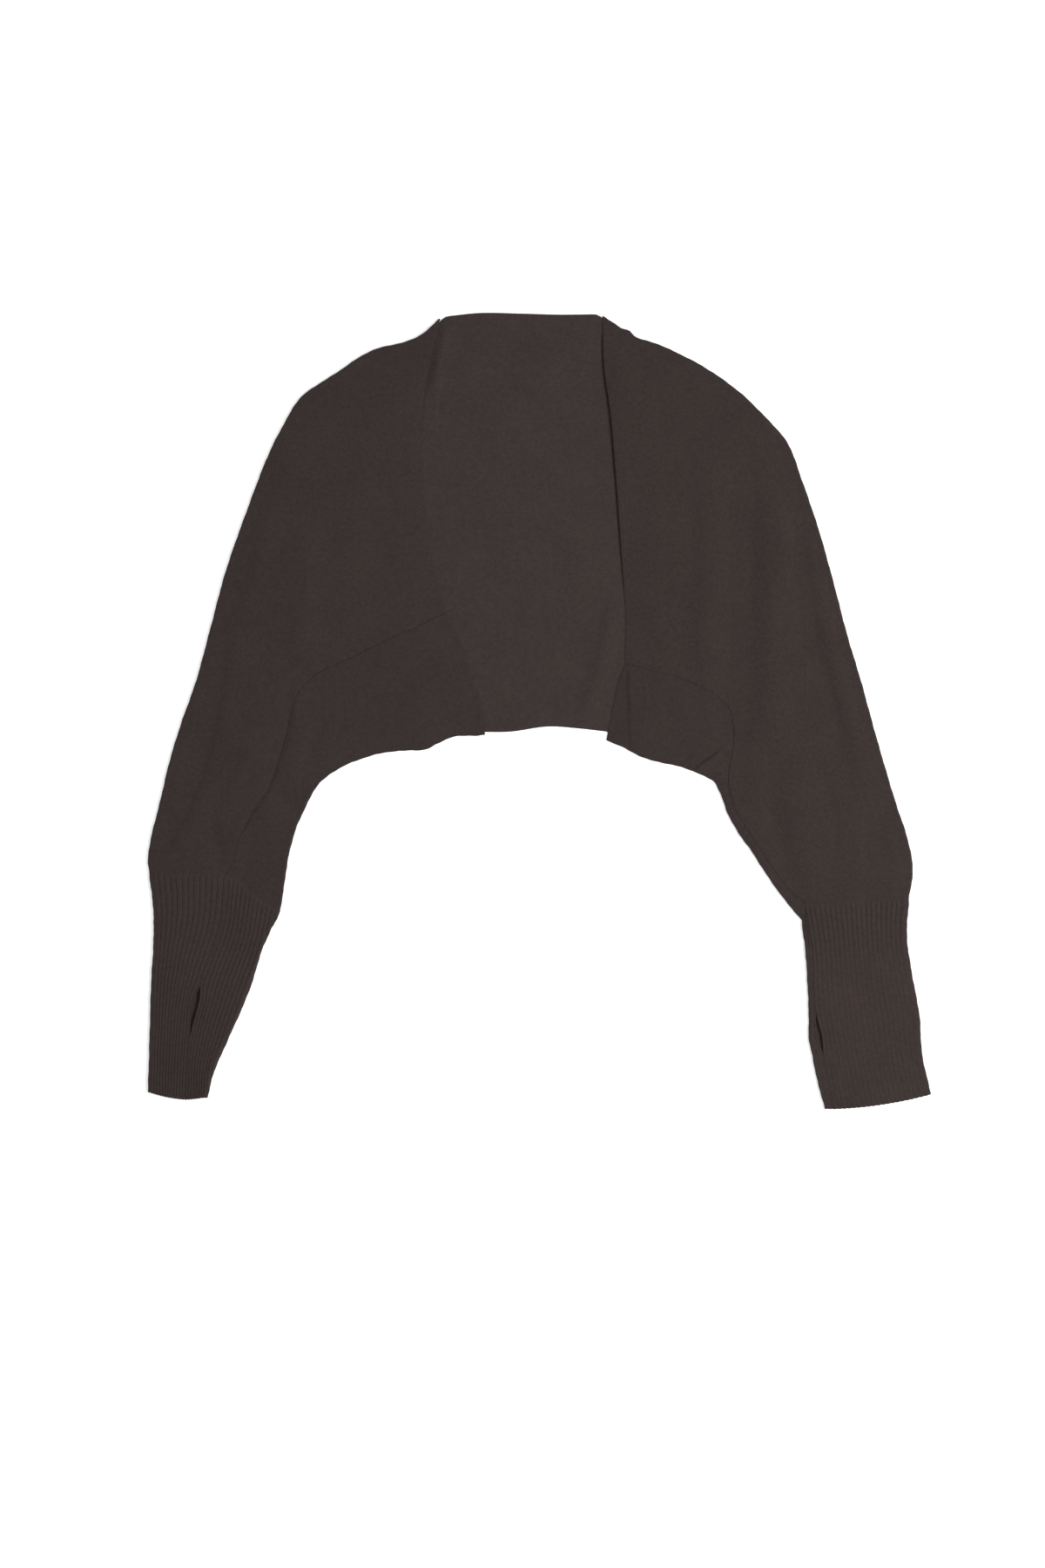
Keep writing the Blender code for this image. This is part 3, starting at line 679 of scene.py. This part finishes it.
def add_shell(name, nodes, middle, flat, cloth, relief, rounding, materials):
    """A closed sheet of cloth round its middle surface, with its outside raised by relief."""
    rows, columns = middle.shape[:2]
    across = unit(np.gradient(middle, axis=1))
    down = unit(np.gradient(middle, axis=0))
    normal = unit(np.cross(across, down))
    if normal[rows // 2, 2:6, 2].mean() < 0:
        normal = -normal
    half = np.broadcast_to(cloth / 2, (rows, columns))
    outside = middle + normal * (half + relief)[..., None]
    inside = middle - normal * half[..., None]
    i, j = boundary(rows, columns)
    rim = half[i, j]
    out = edge_out(across[i, j], down[i, j], i, j, rounding)
    rings = []
    for angle in np.radians(RIM_ANGLES):
        up = math.cos(angle) * (rim + max(math.cos(angle), 0.0) * relief[i, j])
        rings.append(middle[i, j] + normal[i, j] * up[:, None] + out * math.sin(angle) * rim[:, None])
    count = rows * columns
    ids = np.arange(count).reshape(rows, columns)
    size = len(i)
    rim_loops = [2 * count + k * size + np.arange(size) for k in range(len(RIM_ANGLES))]
    loops = [ids[i, j]] + rim_loops + [ids[i, j] + count]
    quads = np.stack([ids[:-1, :-1], ids[:-1, 1:], ids[1:, 1:], ids[1:, :-1]], axis=-1).reshape(-1, 4)
    faces = [quads, quads[:, ::-1] + count]
    for upper, lower in zip(loops[:-1], loops[1:]):
        faces.append(np.stack([np.roll(upper, -1), upper, lower, np.roll(lower, -1)], axis=-1))
    points = np.vstack([outside.reshape(-1, 3), inside.reshape(-1, 3)] + rings)
    points[:, :2] -= MIDDLE
    faces = np.vstack(faces)
    if volume(points, faces) < 0:
        faces = faces[:, ::-1]
    cloth_uv = np.vstack([flat.reshape(-1, 2), flat.reshape(-1, 2)] + [flat[i, j]] * len(RIM_ANGLES))
    piece = add_mesh(name, points, faces, cloth_uv, materials)
    number = np.zeros(len(faces), int)
    number[len(quads): 2 * len(quads)] = 1
    piece.data.polygons.foreach_set("material_index", number)
    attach(piece, "root")
    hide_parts(*nodes)
    return piece


def volume(points, faces):
    """Volume within four-cornered faces, negative where they face inwards."""
    a, b, c, d = (points[faces[:, k]] for k in range(4))
    return float((a * np.cross(b, c)).sum() + (a * np.cross(c, d)).sum()) / 6


def add_mesh(name, points, faces, uv, materials):
    """A smooth mesh object with the cloth's flat shape as its UV map."""
    mesh = bpy.data.meshes.new(name)
    mesh.from_pydata(points.tolist(), [], faces.tolist())
    layer = mesh.uv_layers.new(name="Cloth")
    layer.data.foreach_set("uv", uv[faces.ravel()].ravel())
    for material in materials:
        mesh.materials.append(material)
    mesh.shade_smooth()
    mesh.set_sharp_from_angle(angle=SMOOTH_ANGLE)
    piece = bpy.data.objects.new(name, mesh)
    bpy.context.collection.objects.link(piece)
    return piece


def wrapped(middle, out, turn):
    """Carries the last column on round a folded edge, down to the underside."""
    last = middle[:, -1]
    radius = (last[:, 2] - CLOTH / 2) / 2
    arcs = []
    flats = []
    for share in np.linspace(0, 1, ARC_COLUMNS + 1)[1:]:
        angle = turn * share
        slack = EDGE_SLACK * share * (1 - turn / math.pi)
        level = radius * np.sin(angle) + slack
        arcs.append(last + with_height(out * level[:, None], -radius * (1 - np.cos(angle))))
        flats.append(last[:, :2] + out * (radius * angle + slack)[:, None])
    whole = np.concatenate([middle, np.stack(arcs, axis=1)], axis=1)
    return whole, np.concatenate([middle[..., :2], np.stack(flats, axis=1)], axis=1)


def rolled(gap):
    """Height of the soft roll just inside a free edge, by the distance from the edge."""
    roll = np.exp(-(((gap - ROLL_PLACE) / ROLL_WIDTH) ** 2))
    return EDGE_ROLL * (roll - ROLL_DROP * np.exp(-((gap / ROLL_DROP_WIDTH) ** 2)))


def joint_out(edge, cuff_edge, other):
    """Direction in which the folded edge bulges where a sleeve meets its cuff."""
    cuff_line = along(metres(cuff_edge), np.linspace(0, 1, CUFF_ROWS))
    return unit(outward(edge, other)[0] + outward(cuff_line, other[:1])[0])


def joined(out, line, joint):
    """Directions that turn towards the joint's own at the start of a line."""
    share = ease(run_length(line) / JOINT_BLEND)[:, None]
    return unit(out * share + joint * (1 - share))


def wavy(line):
    """Small unevenness of an edge along its length."""
    turns = 2 * math.pi * run_length(line)
    short, long = EDGE_WAVE_LENGTHS
    return EDGE_WAVE * (np.sin(turns / short) + np.sin(turns / long + 1.7))


def lump(line):
    """Small bulge of the outline where the right neck's seam allowance is folded."""
    x, y, half_width, size = metres(NECK_LUMP)
    return size * np.exp(-(((line - (x, y)) ** 2).sum(-1) / half_width**2))


def sleeve_panel(side, seam, edge, end_edge, columns, closed, joint):
    """A panel's middle surface from seam to edge, its flat shape, and its share of the thickness."""
    turn = math.pi * closed
    out = joined(outward(edge, seam), edge, joint)
    radius = (sleeve_middle(edge) - CLOTH / 2) / 2
    reach = radius * np.sin(np.minimum(turn, math.pi / 2)) + CLOTH / 2 + EDGE_SLACK * (1 - closed)
    reach += wavy(edge) - FULLER - lump(edge)
    start = seam - outward(seam, edge) * (SEAM_EDGE * CLOTH / 2)
    grid = span(start, edge - out * reach[:, None], spread(columns), end_edge)
    height = sleeve_middle(grid) + pucker(seam, np.linalg.norm(grid - seam[:, None], axis=-1))
    hem_gap = np.linalg.norm(grid - edge[:, None], axis=-1)
    sag = side.hem_droop[0] * np.exp(-((hem_gap / side.hem_droop[1]) ** 2))
    height += (1 - closed)[:, None] * (rolled(hem_gap) - sag)
    end_gap = np.linalg.norm(grid - grid[-1:], axis=-1)
    rest = np.interp(grid[..., 1], metres(side.edge_rest)[:, 0], np.array(side.edge_rest)[:, 1])
    thin = 1 - THIN_EDGE[0] * rest * np.exp(-((end_gap / THIN_EDGE[1]) ** 2))
    rest *= np.exp(-((end_gap / EDGE_REST_WIDTH) ** 2))
    lying = back_rise(grid) + CLOTH * (1 + thin / 2) + LEAST_GAP
    height += rolled(end_gap) + rest * (lying - height) + crease_height(grid)
    height = np.maximum(height, CLOTH / 2 + LEAST_GAP)
    middle, flat = wrapped(with_height(grid, height), out, turn)
    middle[-1] += unit(middle[-2] - middle[-1]) * CLOTH / 4
    thin = np.concatenate([thin, np.repeat(thin[:, -1:], ARC_COLUMNS, axis=1)], axis=1)
    return middle, flat, thin


def turned(flat, degrees):
    """The flat shape turned, so that the knit's wales run at that angle to the garment's length."""
    c, s = math.cos(math.radians(degrees)), math.sin(math.radians(degrees))
    return flat @ np.array([[c, s], [-s, c]])


def closed_share(stations, side):
    """How far the sleeve's inner side is closed at each station: 1 on the sleeve, 0 at the hem."""
    return 1 - ease((stations - side.hem_start + OPENING_LEAD) / OPENING_RAMP)


def add_front(name, node, middle, flat, cloth, outside):
    """A plain-knit panel of the front, thinner towards its opening edge."""
    rounding = {"start": JOINED_EDGE, "end": FREE_EDGE, "near": SEAM_EDGE, "far": FREE_EDGE}
    relief = np.zeros(middle.shape[:2])
    return add_shell(
        name, [node], middle, flat, cloth, relief, rounding, (outside, KNIT_INSIDE)
    )


def add_side(side):
    """One front with its sleeve, and the lower front that runs on into the underarm."""
    stations = all_stations(side.sections, ROWS_PER_SECTION)
    outer, seam, inner = side_lines(side.sections, stations)
    closed = np.ones(len(stations))
    joint = joint_out(outer, side.cuff_outer, seam)
    middle, flat, thin = sleeve_panel(side, seam, outer, side.upper_edge, UPPER_COLUMNS, closed, joint)
    grain = turned(flat, side.grain)
    front = add_front(f"cloth_front_{side.name}", f"front_{side.name}", middle, grain, CLOTH * thin, KNIT)
    closed = closed_share(stations, side)
    joint = joint_out(inner, side.cuff_inner, seam)
    hem_up = side.lower_edge[::-1]
    middle, flat, thin = sleeve_panel(side, seam, inner, hem_up, LOWER_COLUMNS, closed, joint)
    name = f"lower_front_{side.name}"
    lower = add_front(f"cloth_{name}", name, middle, flat, CLOTH * thin, LOWER_KNIT)


def closed_inset(stations, side):
    """How far the back's hem side lies inside the outline, at each station."""
    closed = closed_share(stations, side)
    return closed * FOLD_INSET + (1 - closed) * FREE_INSET


def hem_rise(stations, side):
    """How much higher the back's hem lies than the fronts' hem, at each station."""
    share = ease((stations - side.hem_start) / HEM_RAMP_SECTIONS)
    return np.stack([np.zeros_like(share), share * side.hem_rise], axis=-1)


def back_out(line, other, left_cuff, right_cuff):
    """Outward directions of one long edge of the back, from the left cuff to the right one."""
    out = joined(outward(line, other), line, joint_out(line, left_cuff, other))
    return joined(out[::-1], line[::-1], joint_out(line[::-1], right_cuff, other[::-1]))[::-1]


def add_back():
    """The back with both its sleeves, from one cuff over the body to the other."""
    stations = all_stations(LEFT.sections, ROWS_PER_SECTION)
    left_outer, _, left_inner = side_lines(LEFT.sections, stations)
    right_outer, _, right_inner = side_lines(RIGHT.sections, stations)
    left_inner = left_inner + hem_rise(stations, LEFT)
    right_inner = right_inner + hem_rise(stations, RIGHT)
    neck = smooth_rows(metres(NECK_SECTIONS), all_stations(NECK_SECTIONS, ROWS_PER_NECK_SECTION))
    outer = np.vstack([left_outer[:-1], neck[:, 0:2], right_outer[-2::-1]])
    inner = np.vstack([left_inner[:-1], neck[:, 2:4], right_inner[-2::-1]])
    left_inset = closed_inset(stations, LEFT)
    right_inset = closed_inset(stations, RIGHT)
    hem_inset = np.concatenate([left_inset[:-1], np.full(len(neck), FREE_INSET), right_inset[-2::-1]])
    place = run_length(neck[:, 0:2])
    near_end = np.minimum(place, place[-1] - place)
    neck_inset = FREE_INSET + (FOLD_INSET - FREE_INSET) * np.exp(-((near_end / NECK_RAMP) ** 2))
    sleeve_inset = np.full(len(stations) - 1, FOLD_INSET)
    top_inset = np.concatenate([sleeve_inset, neck_inset, sleeve_inset])
    low = inner - back_out(inner, outer, LEFT.cuff_inner, RIGHT.cuff_inner) * hem_inset[:, None]
    high = outer - back_out(outer, inner, LEFT.cuff_outer, RIGHT.cuff_outer) * top_inset[:, None]
    grid = span(low, high, spread(BACK_COLUMNS))
    middle = with_height(grid, CLOTH / 2 + back_rise(grid))
    rounding = {"start": JOINED_EDGE, "end": JOINED_EDGE, "near": FREE_EDGE, "far": FREE_EDGE}
    back = add_shell(
        "cloth_back", ["back"], middle, grid,
        CLOTH, np.zeros(middle.shape[:2]), rounding, (KNIT_INSIDE, KNIT),
    )


def straight(start, end, count):
    """Rows of points on straight lines from one line's points to the other's."""
    share = np.linspace(0, 1, count)[None, :, None]
    return start[:, None] * (1 - share) + end[:, None] * share


def bend(centre, direction, z_from, z_to):
    """A half turn of the cloth at a fold, which bulges in a level direction."""
    angle = np.linspace(0, math.pi, BEND_POINTS)
    level = (np.abs(z_from - z_to) / 2)[:, None] * np.sin(angle)
    height = (z_from + z_to)[:, None] / 2 + (z_from - z_to)[:, None] / 2 * np.cos(angle)
    return with_height(centre[:, None] + direction[:, None] * level[..., None], height)


def evenly(path, count):
    """The path's rows, each one with points at even lengths along it."""
    steps = np.linalg.norm(np.diff(path, axis=1), axis=-1)
    runs = np.concatenate([np.zeros((len(path), 1)), np.cumsum(steps, axis=1)], axis=1)
    share = np.linspace(0, 1, count)
    rows = []
    for row, run in zip(path, runs):
        rows.append(np.stack([np.interp(share * run[-1], run, row[:, k]) for k in range(3)], axis=-1))
    return np.stack(rows)


def slit_bow(rows, slit):
    """How far a thumb slit's lip stands back from the cuff's seam, at each row."""
    start, end, half_width, lean = slit
    share = np.clip((rows - start) / (end - start), 0.0, 1.0)
    return half_width * np.sin(math.pi * share**lean) ** SLIT_TAPER


def draw_back(points, away, bow):
    """Draw each row's first point back from the seam, and the next ribs less and less."""
    ribs = np.arange(points.shape[1]) / COLUMNS_PER_RIB
    share = np.exp(-((ribs / SLIT_RIBS) ** 2))
    points[..., :2] += away[:, None] * (bow[:, None] * share)[..., None]


def bowed_hem(points, inner, outer):
    """The cuff's points with its hem bowed outwards between its two corners."""
    chord = outer[-1] - inner[-1]
    share = np.clip((points - inner[-1]) @ chord / (chord @ chord), 0.0, 1.0)
    square = np.array([chord[1], -chord[0]]) / np.linalg.norm(chord)
    down = -square * np.sign(square[1])
    weight = (np.linspace(0, 1, len(points)) ** BOW_POWER)[:, None]
    return points + (CUFF_HEM_BOW * 4 * share * (1 - share) * weight)[..., None] * down


def plain_round(outer_end, inner_end, out, inner_out, base, top_out, top_in):
    """From the outer fold underneath to the inner fold and up again."""
    return [
        bend(outer_end, out, top_out, base),
        with_height(straight(outer_end, inner_end, PLAIN_POINTS), base[:, None]),
        bend(inner_end, inner_out, base, top_in),
    ]


def turned_round(outer_end, inner_end, out, inner_out, base, top_out, top_in, rows):
    """The same where the tube's inner side is turned under itself, so that four layers lie there."""
    turned_share = ease(rows / FOLD_UNDER_RAMP)
    strip_end = inner_end - inner_out * (TURNED_STRIP * turned_share)[:, None]
    second = base + TURNED_LAYER * turned_share
    third = base + 2 * TURNED_LAYER * turned_share
    bottom = straight(outer_end, inner_end, TURNED_POINTS)
    gap = np.linalg.norm(bottom - inner_end[:, None], axis=-1)
    over = 1 - ease((gap - TURNED_STRIP) / TURNED_SLOPE)
    return [
        bend(outer_end, out, top_out, base),
        with_height(bottom, base[:, None] + (third - base)[:, None] * over),
        bend(inner_end, inner_out, third, second),
        with_height(straight(inner_end, strip_end, STRIP_POINTS), second[:, None]),
        bend(strip_end, -inner_out, second, base),
        with_height(straight(strip_end, inner_end, STRIP_POINTS), base[:, None]),
        bend(inner_end, inner_out, base, top_in),
    ]


def cuff_lines(side):
    """Outer, seam and inner lines of a cuff, from the sleeve to the hem."""
    share = np.linspace(0, 1, CUFF_ROWS)
    return [along(metres(line), share) for line in (side.cuff_outer, side.cuff_seam, side.cuff_inner)]


def cuff_outs(side):
    """Outward directions of a cuff's two folded edges, which start in line with the sleeve's."""
    outer, seam, inner = cuff_lines(side)
    stations = all_stations(side.sections, ROWS_PER_SECTION)
    sleeve_outer, sleeve_seam, sleeve_inner = side_lines(side.sections, stations)
    joint = joint_out(sleeve_outer, side.cuff_outer, sleeve_seam)
    inner_joint = joint_out(sleeve_inner, side.cuff_inner, sleeve_seam)
    return joined(outward(outer, seam), outer, joint), joined(outward(inner, seam), inner, inner_joint)


def cuff_tube(side, fade, base):
    """Middle surface of a cuff, on even columns from one lip of its seam all round to the other."""
    rows = np.linspace(0, 1, CUFF_ROWS)
    outer, seam, inner = cuff_lines(side)
    out, inner_out = cuff_outs(side)
    to_outer = -outward(seam, outer)
    to_inner = -outward(seam, inner)
    lip = LIP_EDGE * RIB_CLOTH / 2
    more = (RIB_CLOTH + RIB_HEIGHT * fade) / 2 - FULLER + wavy(seam)
    outer_reach = (cuff_middle(outer, side) - base) / 2 + more
    inner_reach = (cuff_middle(inner, side) - base) / 2 + more
    outer_end = outer - out * outer_reach[:, None]
    inner_end = inner - inner_out * inner_reach[:, None]
    top_count = int((side.outer_ribs - 0.5) * COLUMNS_PER_RIB) + 1
    top = straight(seam + to_outer * lip, outer_end, top_count)
    top = with_height(top, cuff_middle(top, side))
    last = straight(inner_end, seam + to_inner * lip, LAST_POINTS)
    last = with_height(last, cuff_middle(last, side))
    ends = (outer_end, inner_end, out, inner_out, base, top[:, -1, 2], last[:, 0, 2])
    rest = turned_round(*ends, rows) if side.turned_under else plain_round(*ends)
    round_count = int(side.round_ribs * COLUMNS_PER_RIB) + 1
    under = evenly(np.concatenate(rest + [last], axis=1), round_count)
    bow = slit_bow(rows, side.slit)
    draw_back(top, to_outer, bow)
    draw_back(under[:, ::-1], to_inner, bow)
    return np.concatenate([top, under[:, 1:]], axis=1)


def add_cuff(side):
    """A cuff knitted in rib, all round from one lip of its seam to the other."""
    outer, seam, inner = cuff_lines(side)
    run = run_length(seam)
    fade = ease(run / RIB_START) * (1 - (1 - side.rib_calm) * ease(run / RIB_CALM_RUN))
    base = RIB_CLOTH / 2 + PRESSED_RIB * fade
    middle = cuff_tube(side, fade, base)
    middle[..., :2] = bowed_hem(middle[..., :2], inner, outer)
    rib = np.arange(middle.shape[1]) / COLUMNS_PER_RIB
    crest = np.abs(np.cos(math.pi * rib)) ** RIB_SHARPNESS
    hem_gap = (run[-1] - run)[:, None]
    near_hem = np.exp(-((hem_gap / HEM_SCALLOP_RUN) ** 2))
    middle[..., 1] -= HEM_SCALLOP * (crest - MEAN_CREST) * near_hem
    lifted = ease((middle[..., 2] - base[:, None] - PRESSED_UP_TO) / PRESSED_RAMP)
    relief = crest * (PRESSED_RIB + (RIB_HEIGHT - PRESSED_RIB) * lifted) * fade[:, None]
    wide = np.broadcast_to(rib * RIB_PITCH, relief.shape)
    flat = with_height(wide[..., None], np.broadcast_to(-run[:, None], relief.shape))
    rounding = {"start": JOINED_EDGE, "end": FREE_EDGE, "near": LIP_EDGE, "far": LIP_EDGE}
    nodes = [f"cuff_{side.name}_{part}" for part in ("front_outer", "front_inner", "back")]
    cuff = add_shell(
        f"cloth_cuff_{side.name}", nodes, middle, flat,
        RIB_CLOTH, relief, rounding, (RIB, RIB_INSIDE),
    )


class Sums:
    """Math nodes of one material's node tree."""

    def __init__(self, tree):
        self.tree = tree

    def __call__(self, operation, *values):
        node = self.tree.nodes.new("ShaderNodeMath")
        node.operation = operation
        for socket, value in zip(node.inputs, values):
            if isinstance(value, (int, float)):
                socket.default_value = value
            else:
                self.tree.links.new(value, socket)
        return node.outputs[0]


def plain_stitches(sums, u, v):
    """Two slanted legs a stitch, as on the right side of plain knit."""
    across = sums("MULTIPLY", sums("ABSOLUTE", sums("SUBTRACT", sums("FRACT", u), 0.5)), 2.0)
    slanted = sums("FRACT", sums("ADD", v, sums("MULTIPLY", across, LEG_SLANT)))
    lump = sums("SINE", sums("MULTIPLY", slanted, math.pi))
    legs = sums("SQRT", sums("MAXIMUM", sums("SINE", sums("MULTIPLY", across, math.pi)), 0.0))
    return sums("MULTIPLY", legs, sums("ADD", sums("MULTIPLY", lump, 1 - LOOP_LOW), LOOP_LOW))


def purl_stitches(sums, u, v):
    """Offset rows of bumps, as on the wrong side of plain knit."""
    row = sums("FLOOR", v)
    shifted = sums("FRACT", sums("ADD", u, sums("MULTIPLY", row, 0.5)))
    arch = sums("SINE", sums("MULTIPLY", shifted, math.pi))
    bump = sums("ADD", sums("MULTIPLY", arch, 1 - PURL_LOW), PURL_LOW)
    return sums("MULTIPLY", sums("SINE", sums("MULTIPLY", sums("FRACT", v), math.pi)), bump)


def set_inputs(node, values):
    """Constant values on a node's own sockets."""
    for socket, value in values.items():
        node.inputs[socket].default_value = value


def mixed(tree, share, low, high):
    """A colour between two, by a share that another node gives."""
    mix = tree.nodes.new("ShaderNodeMix")
    mix.data_type = "RGBA"
    tree.links.new(share, mix.inputs["Factor"])
    mix.inputs["A"].default_value = tuple(low) + (1.0,)
    mix.inputs["B"].default_value = tuple(high) + (1.0,)
    return mix.outputs["Result"]


def noise(tree, where, scale, detail):
    node = tree.nodes.new("ShaderNodeTexNoise")
    set_inputs(node, {"Scale": scale, "Detail": detail})
    tree.links.new(where, node.inputs["Vector"])
    return node.outputs["Fac"]


def knit_material(name, colour, wale, stitches, lines=0.0, shift=0.0):
    """Knitted cloth: stitches in relief, fuzz, mottling, and painted shade that makes the colour darker
    between the stitches.
    """
    material = bpy.data.materials.new(name)
    material.use_nodes = True
    tree = material.node_tree
    sums = Sums(tree)
    shader = tree.nodes["Principled BSDF"]
    uv = tree.nodes.new("ShaderNodeUVMap")
    uv.uv_map = "Cloth"
    split = tree.nodes.new("ShaderNodeSeparateXYZ")
    tree.links.new(uv.outputs["UV"], split.inputs["Vector"])
    where = tree.nodes.new("ShaderNodeTexCoord").outputs["Object"]
    drift = sums("MULTIPLY", sums("SUBTRACT", noise(tree, where, WANDER_SCALE, 1), 0.5), WANDER)
    u = sums("ADD", sums("DIVIDE", split.outputs["X"], wale), shift)
    u = sums("ADD", u, drift) if shift == 0.0 else u
    v = sums("DIVIDE", split.outputs["Y"], wale * COURSE_SHARE)
    stitch = stitches(sums, u, v)
    fuzz = noise(tree, where, FUZZ_SCALE, 2)
    height = sums("ADD", stitch, sums("MULTIPLY", fuzz, FUZZ_SHARE))
    if lines:
        ridge = sums("SINE", sums("MULTIPLY", u, math.pi))
        height = sums("ADD", height, sums("MULTIPLY", sums("ABSOLUTE", ridge), lines))
    bump = tree.nodes.new("ShaderNodeBump")
    set_inputs(bump, {"Strength": BUMP_STRENGTH, "Distance": BUMP_DEPTH})
    tree.links.new(height, bump.inputs["Height"])
    tree.links.new(bump.outputs["Normal"], shader.inputs["Normal"])
    # Painted shade: the colour darkens in the grooves between the stitches and lightens on their crests
    share = sums("MULTIPLY", stitch, STITCH_PAINTED_SHADE)
    for scale, weight in MOTTLING:
        uneven_part = sums("MULTIPLY", sums("SUBTRACT", noise(tree, where, scale, 2), 0.5), weight)
        share = sums("ADD", share, uneven_part)
    share = sums("ADD", share, MEAN_SHADE)
    low, high = ([shade * part for part in colour] for shade in (DARKEST, LIGHTEST))
    tree.links.new(mixed(tree, share, low, high), shader.inputs["Base Color"])
    set_inputs(shader, CLOTH_FINISH)
    return material


def floor_material():
    """Plain pale floor with a faint unevenness."""
    material = bpy.data.materials.new("pale_floor")
    material.use_nodes = True
    tree = material.node_tree
    shader = tree.nodes["Principled BSDF"]
    where = tree.nodes.new("ShaderNodeTexCoord").outputs["Object"]
    low, high = ([shade] * 3 for shade in FLOOR_SHADES)
    share = noise(tree, where, FLOOR_NOISE_SCALE, 2)
    tree.links.new(mixed(tree, share, low, high), shader.inputs["Base Color"])
    set_inputs(shader, FLOOR_FINISH)
    return material


def add_floor():
    half = FLOOR_SIZE / 2
    corners = [(-half, -half, 0), (half, -half, 0), (half, half, 0), (-half, half, 0)]
    mesh = bpy.data.meshes.new("floor")
    mesh.from_pydata(corners, [], [(0, 1, 2, 3)])
    mesh.materials.append(floor_material())
    floor = bpy.data.objects.new("floor", mesh)
    floor.location = (0, 0, -FLOOR_DROP)
    bpy.context.collection.objects.link(floor)


def add_light(name, place, size, power):
    """A soft square light that faces the garment's middle."""
    light = bpy.data.lights.new(name, "AREA")
    light.shape = "SQUARE"
    light.size = size
    light.energy = power
    lamp = bpy.data.objects.new(name, light)
    lamp.location = place
    x, y, z = place
    lamp.rotation_euler = (math.atan2(math.hypot(x, y), z), 0, math.atan2(y, x) + math.pi / 2)
    bpy.context.collection.objects.link(lamp)


def add_studio():
    for light in LIGHTS:
        add_light(*light)
    world = bpy.data.worlds.new("studio")
    world.use_nodes = True
    background = world.node_tree.nodes["Background"]
    set_inputs(background, {"Color": (1.0, 1.0, 1.0, 1.0), "Strength": WORLD_STRENGTH})
    bpy.context.scene.world = world
    bpy.context.scene.view_settings.view_transform = "Standard"


def add_camera():
    camera = bpy.data.cameras.new("camera")
    camera.lens = CAMERA_LENS
    camera.sensor_width = CAMERA_SENSOR
    holder = bpy.data.objects.new("camera", camera)
    holder.location = CAMERA_PLACE
    bpy.context.collection.objects.link(holder)
    bpy.context.scene.camera = holder


KNIT = knit_material("knit_outside", KNIT_COLOUR, WALE, plain_stitches)
KNIT_INSIDE = knit_material("knit_inside", INSIDE_COLOUR, WALE, purl_stitches)
LOWER_KNIT = knit_material("knit_lower_front", KNIT_COLOUR, WALE, plain_stitches, lines=LOWER_LINES)
RIB = knit_material("rib_outside", RIB_COLOUR, RIB_PITCH / 2, plain_stitches, shift=0.5)
RIB_INSIDE = knit_material("rib_inside", RIB_COLOUR, RIB_PITCH / 2, purl_stitches, shift=0.5)

add_floor()
add_back()
for garment_side in (LEFT, RIGHT):
    add_side(garment_side)
for garment_side in (LEFT, RIGHT):
    add_cuff(garment_side)
add_studio()
add_camera()
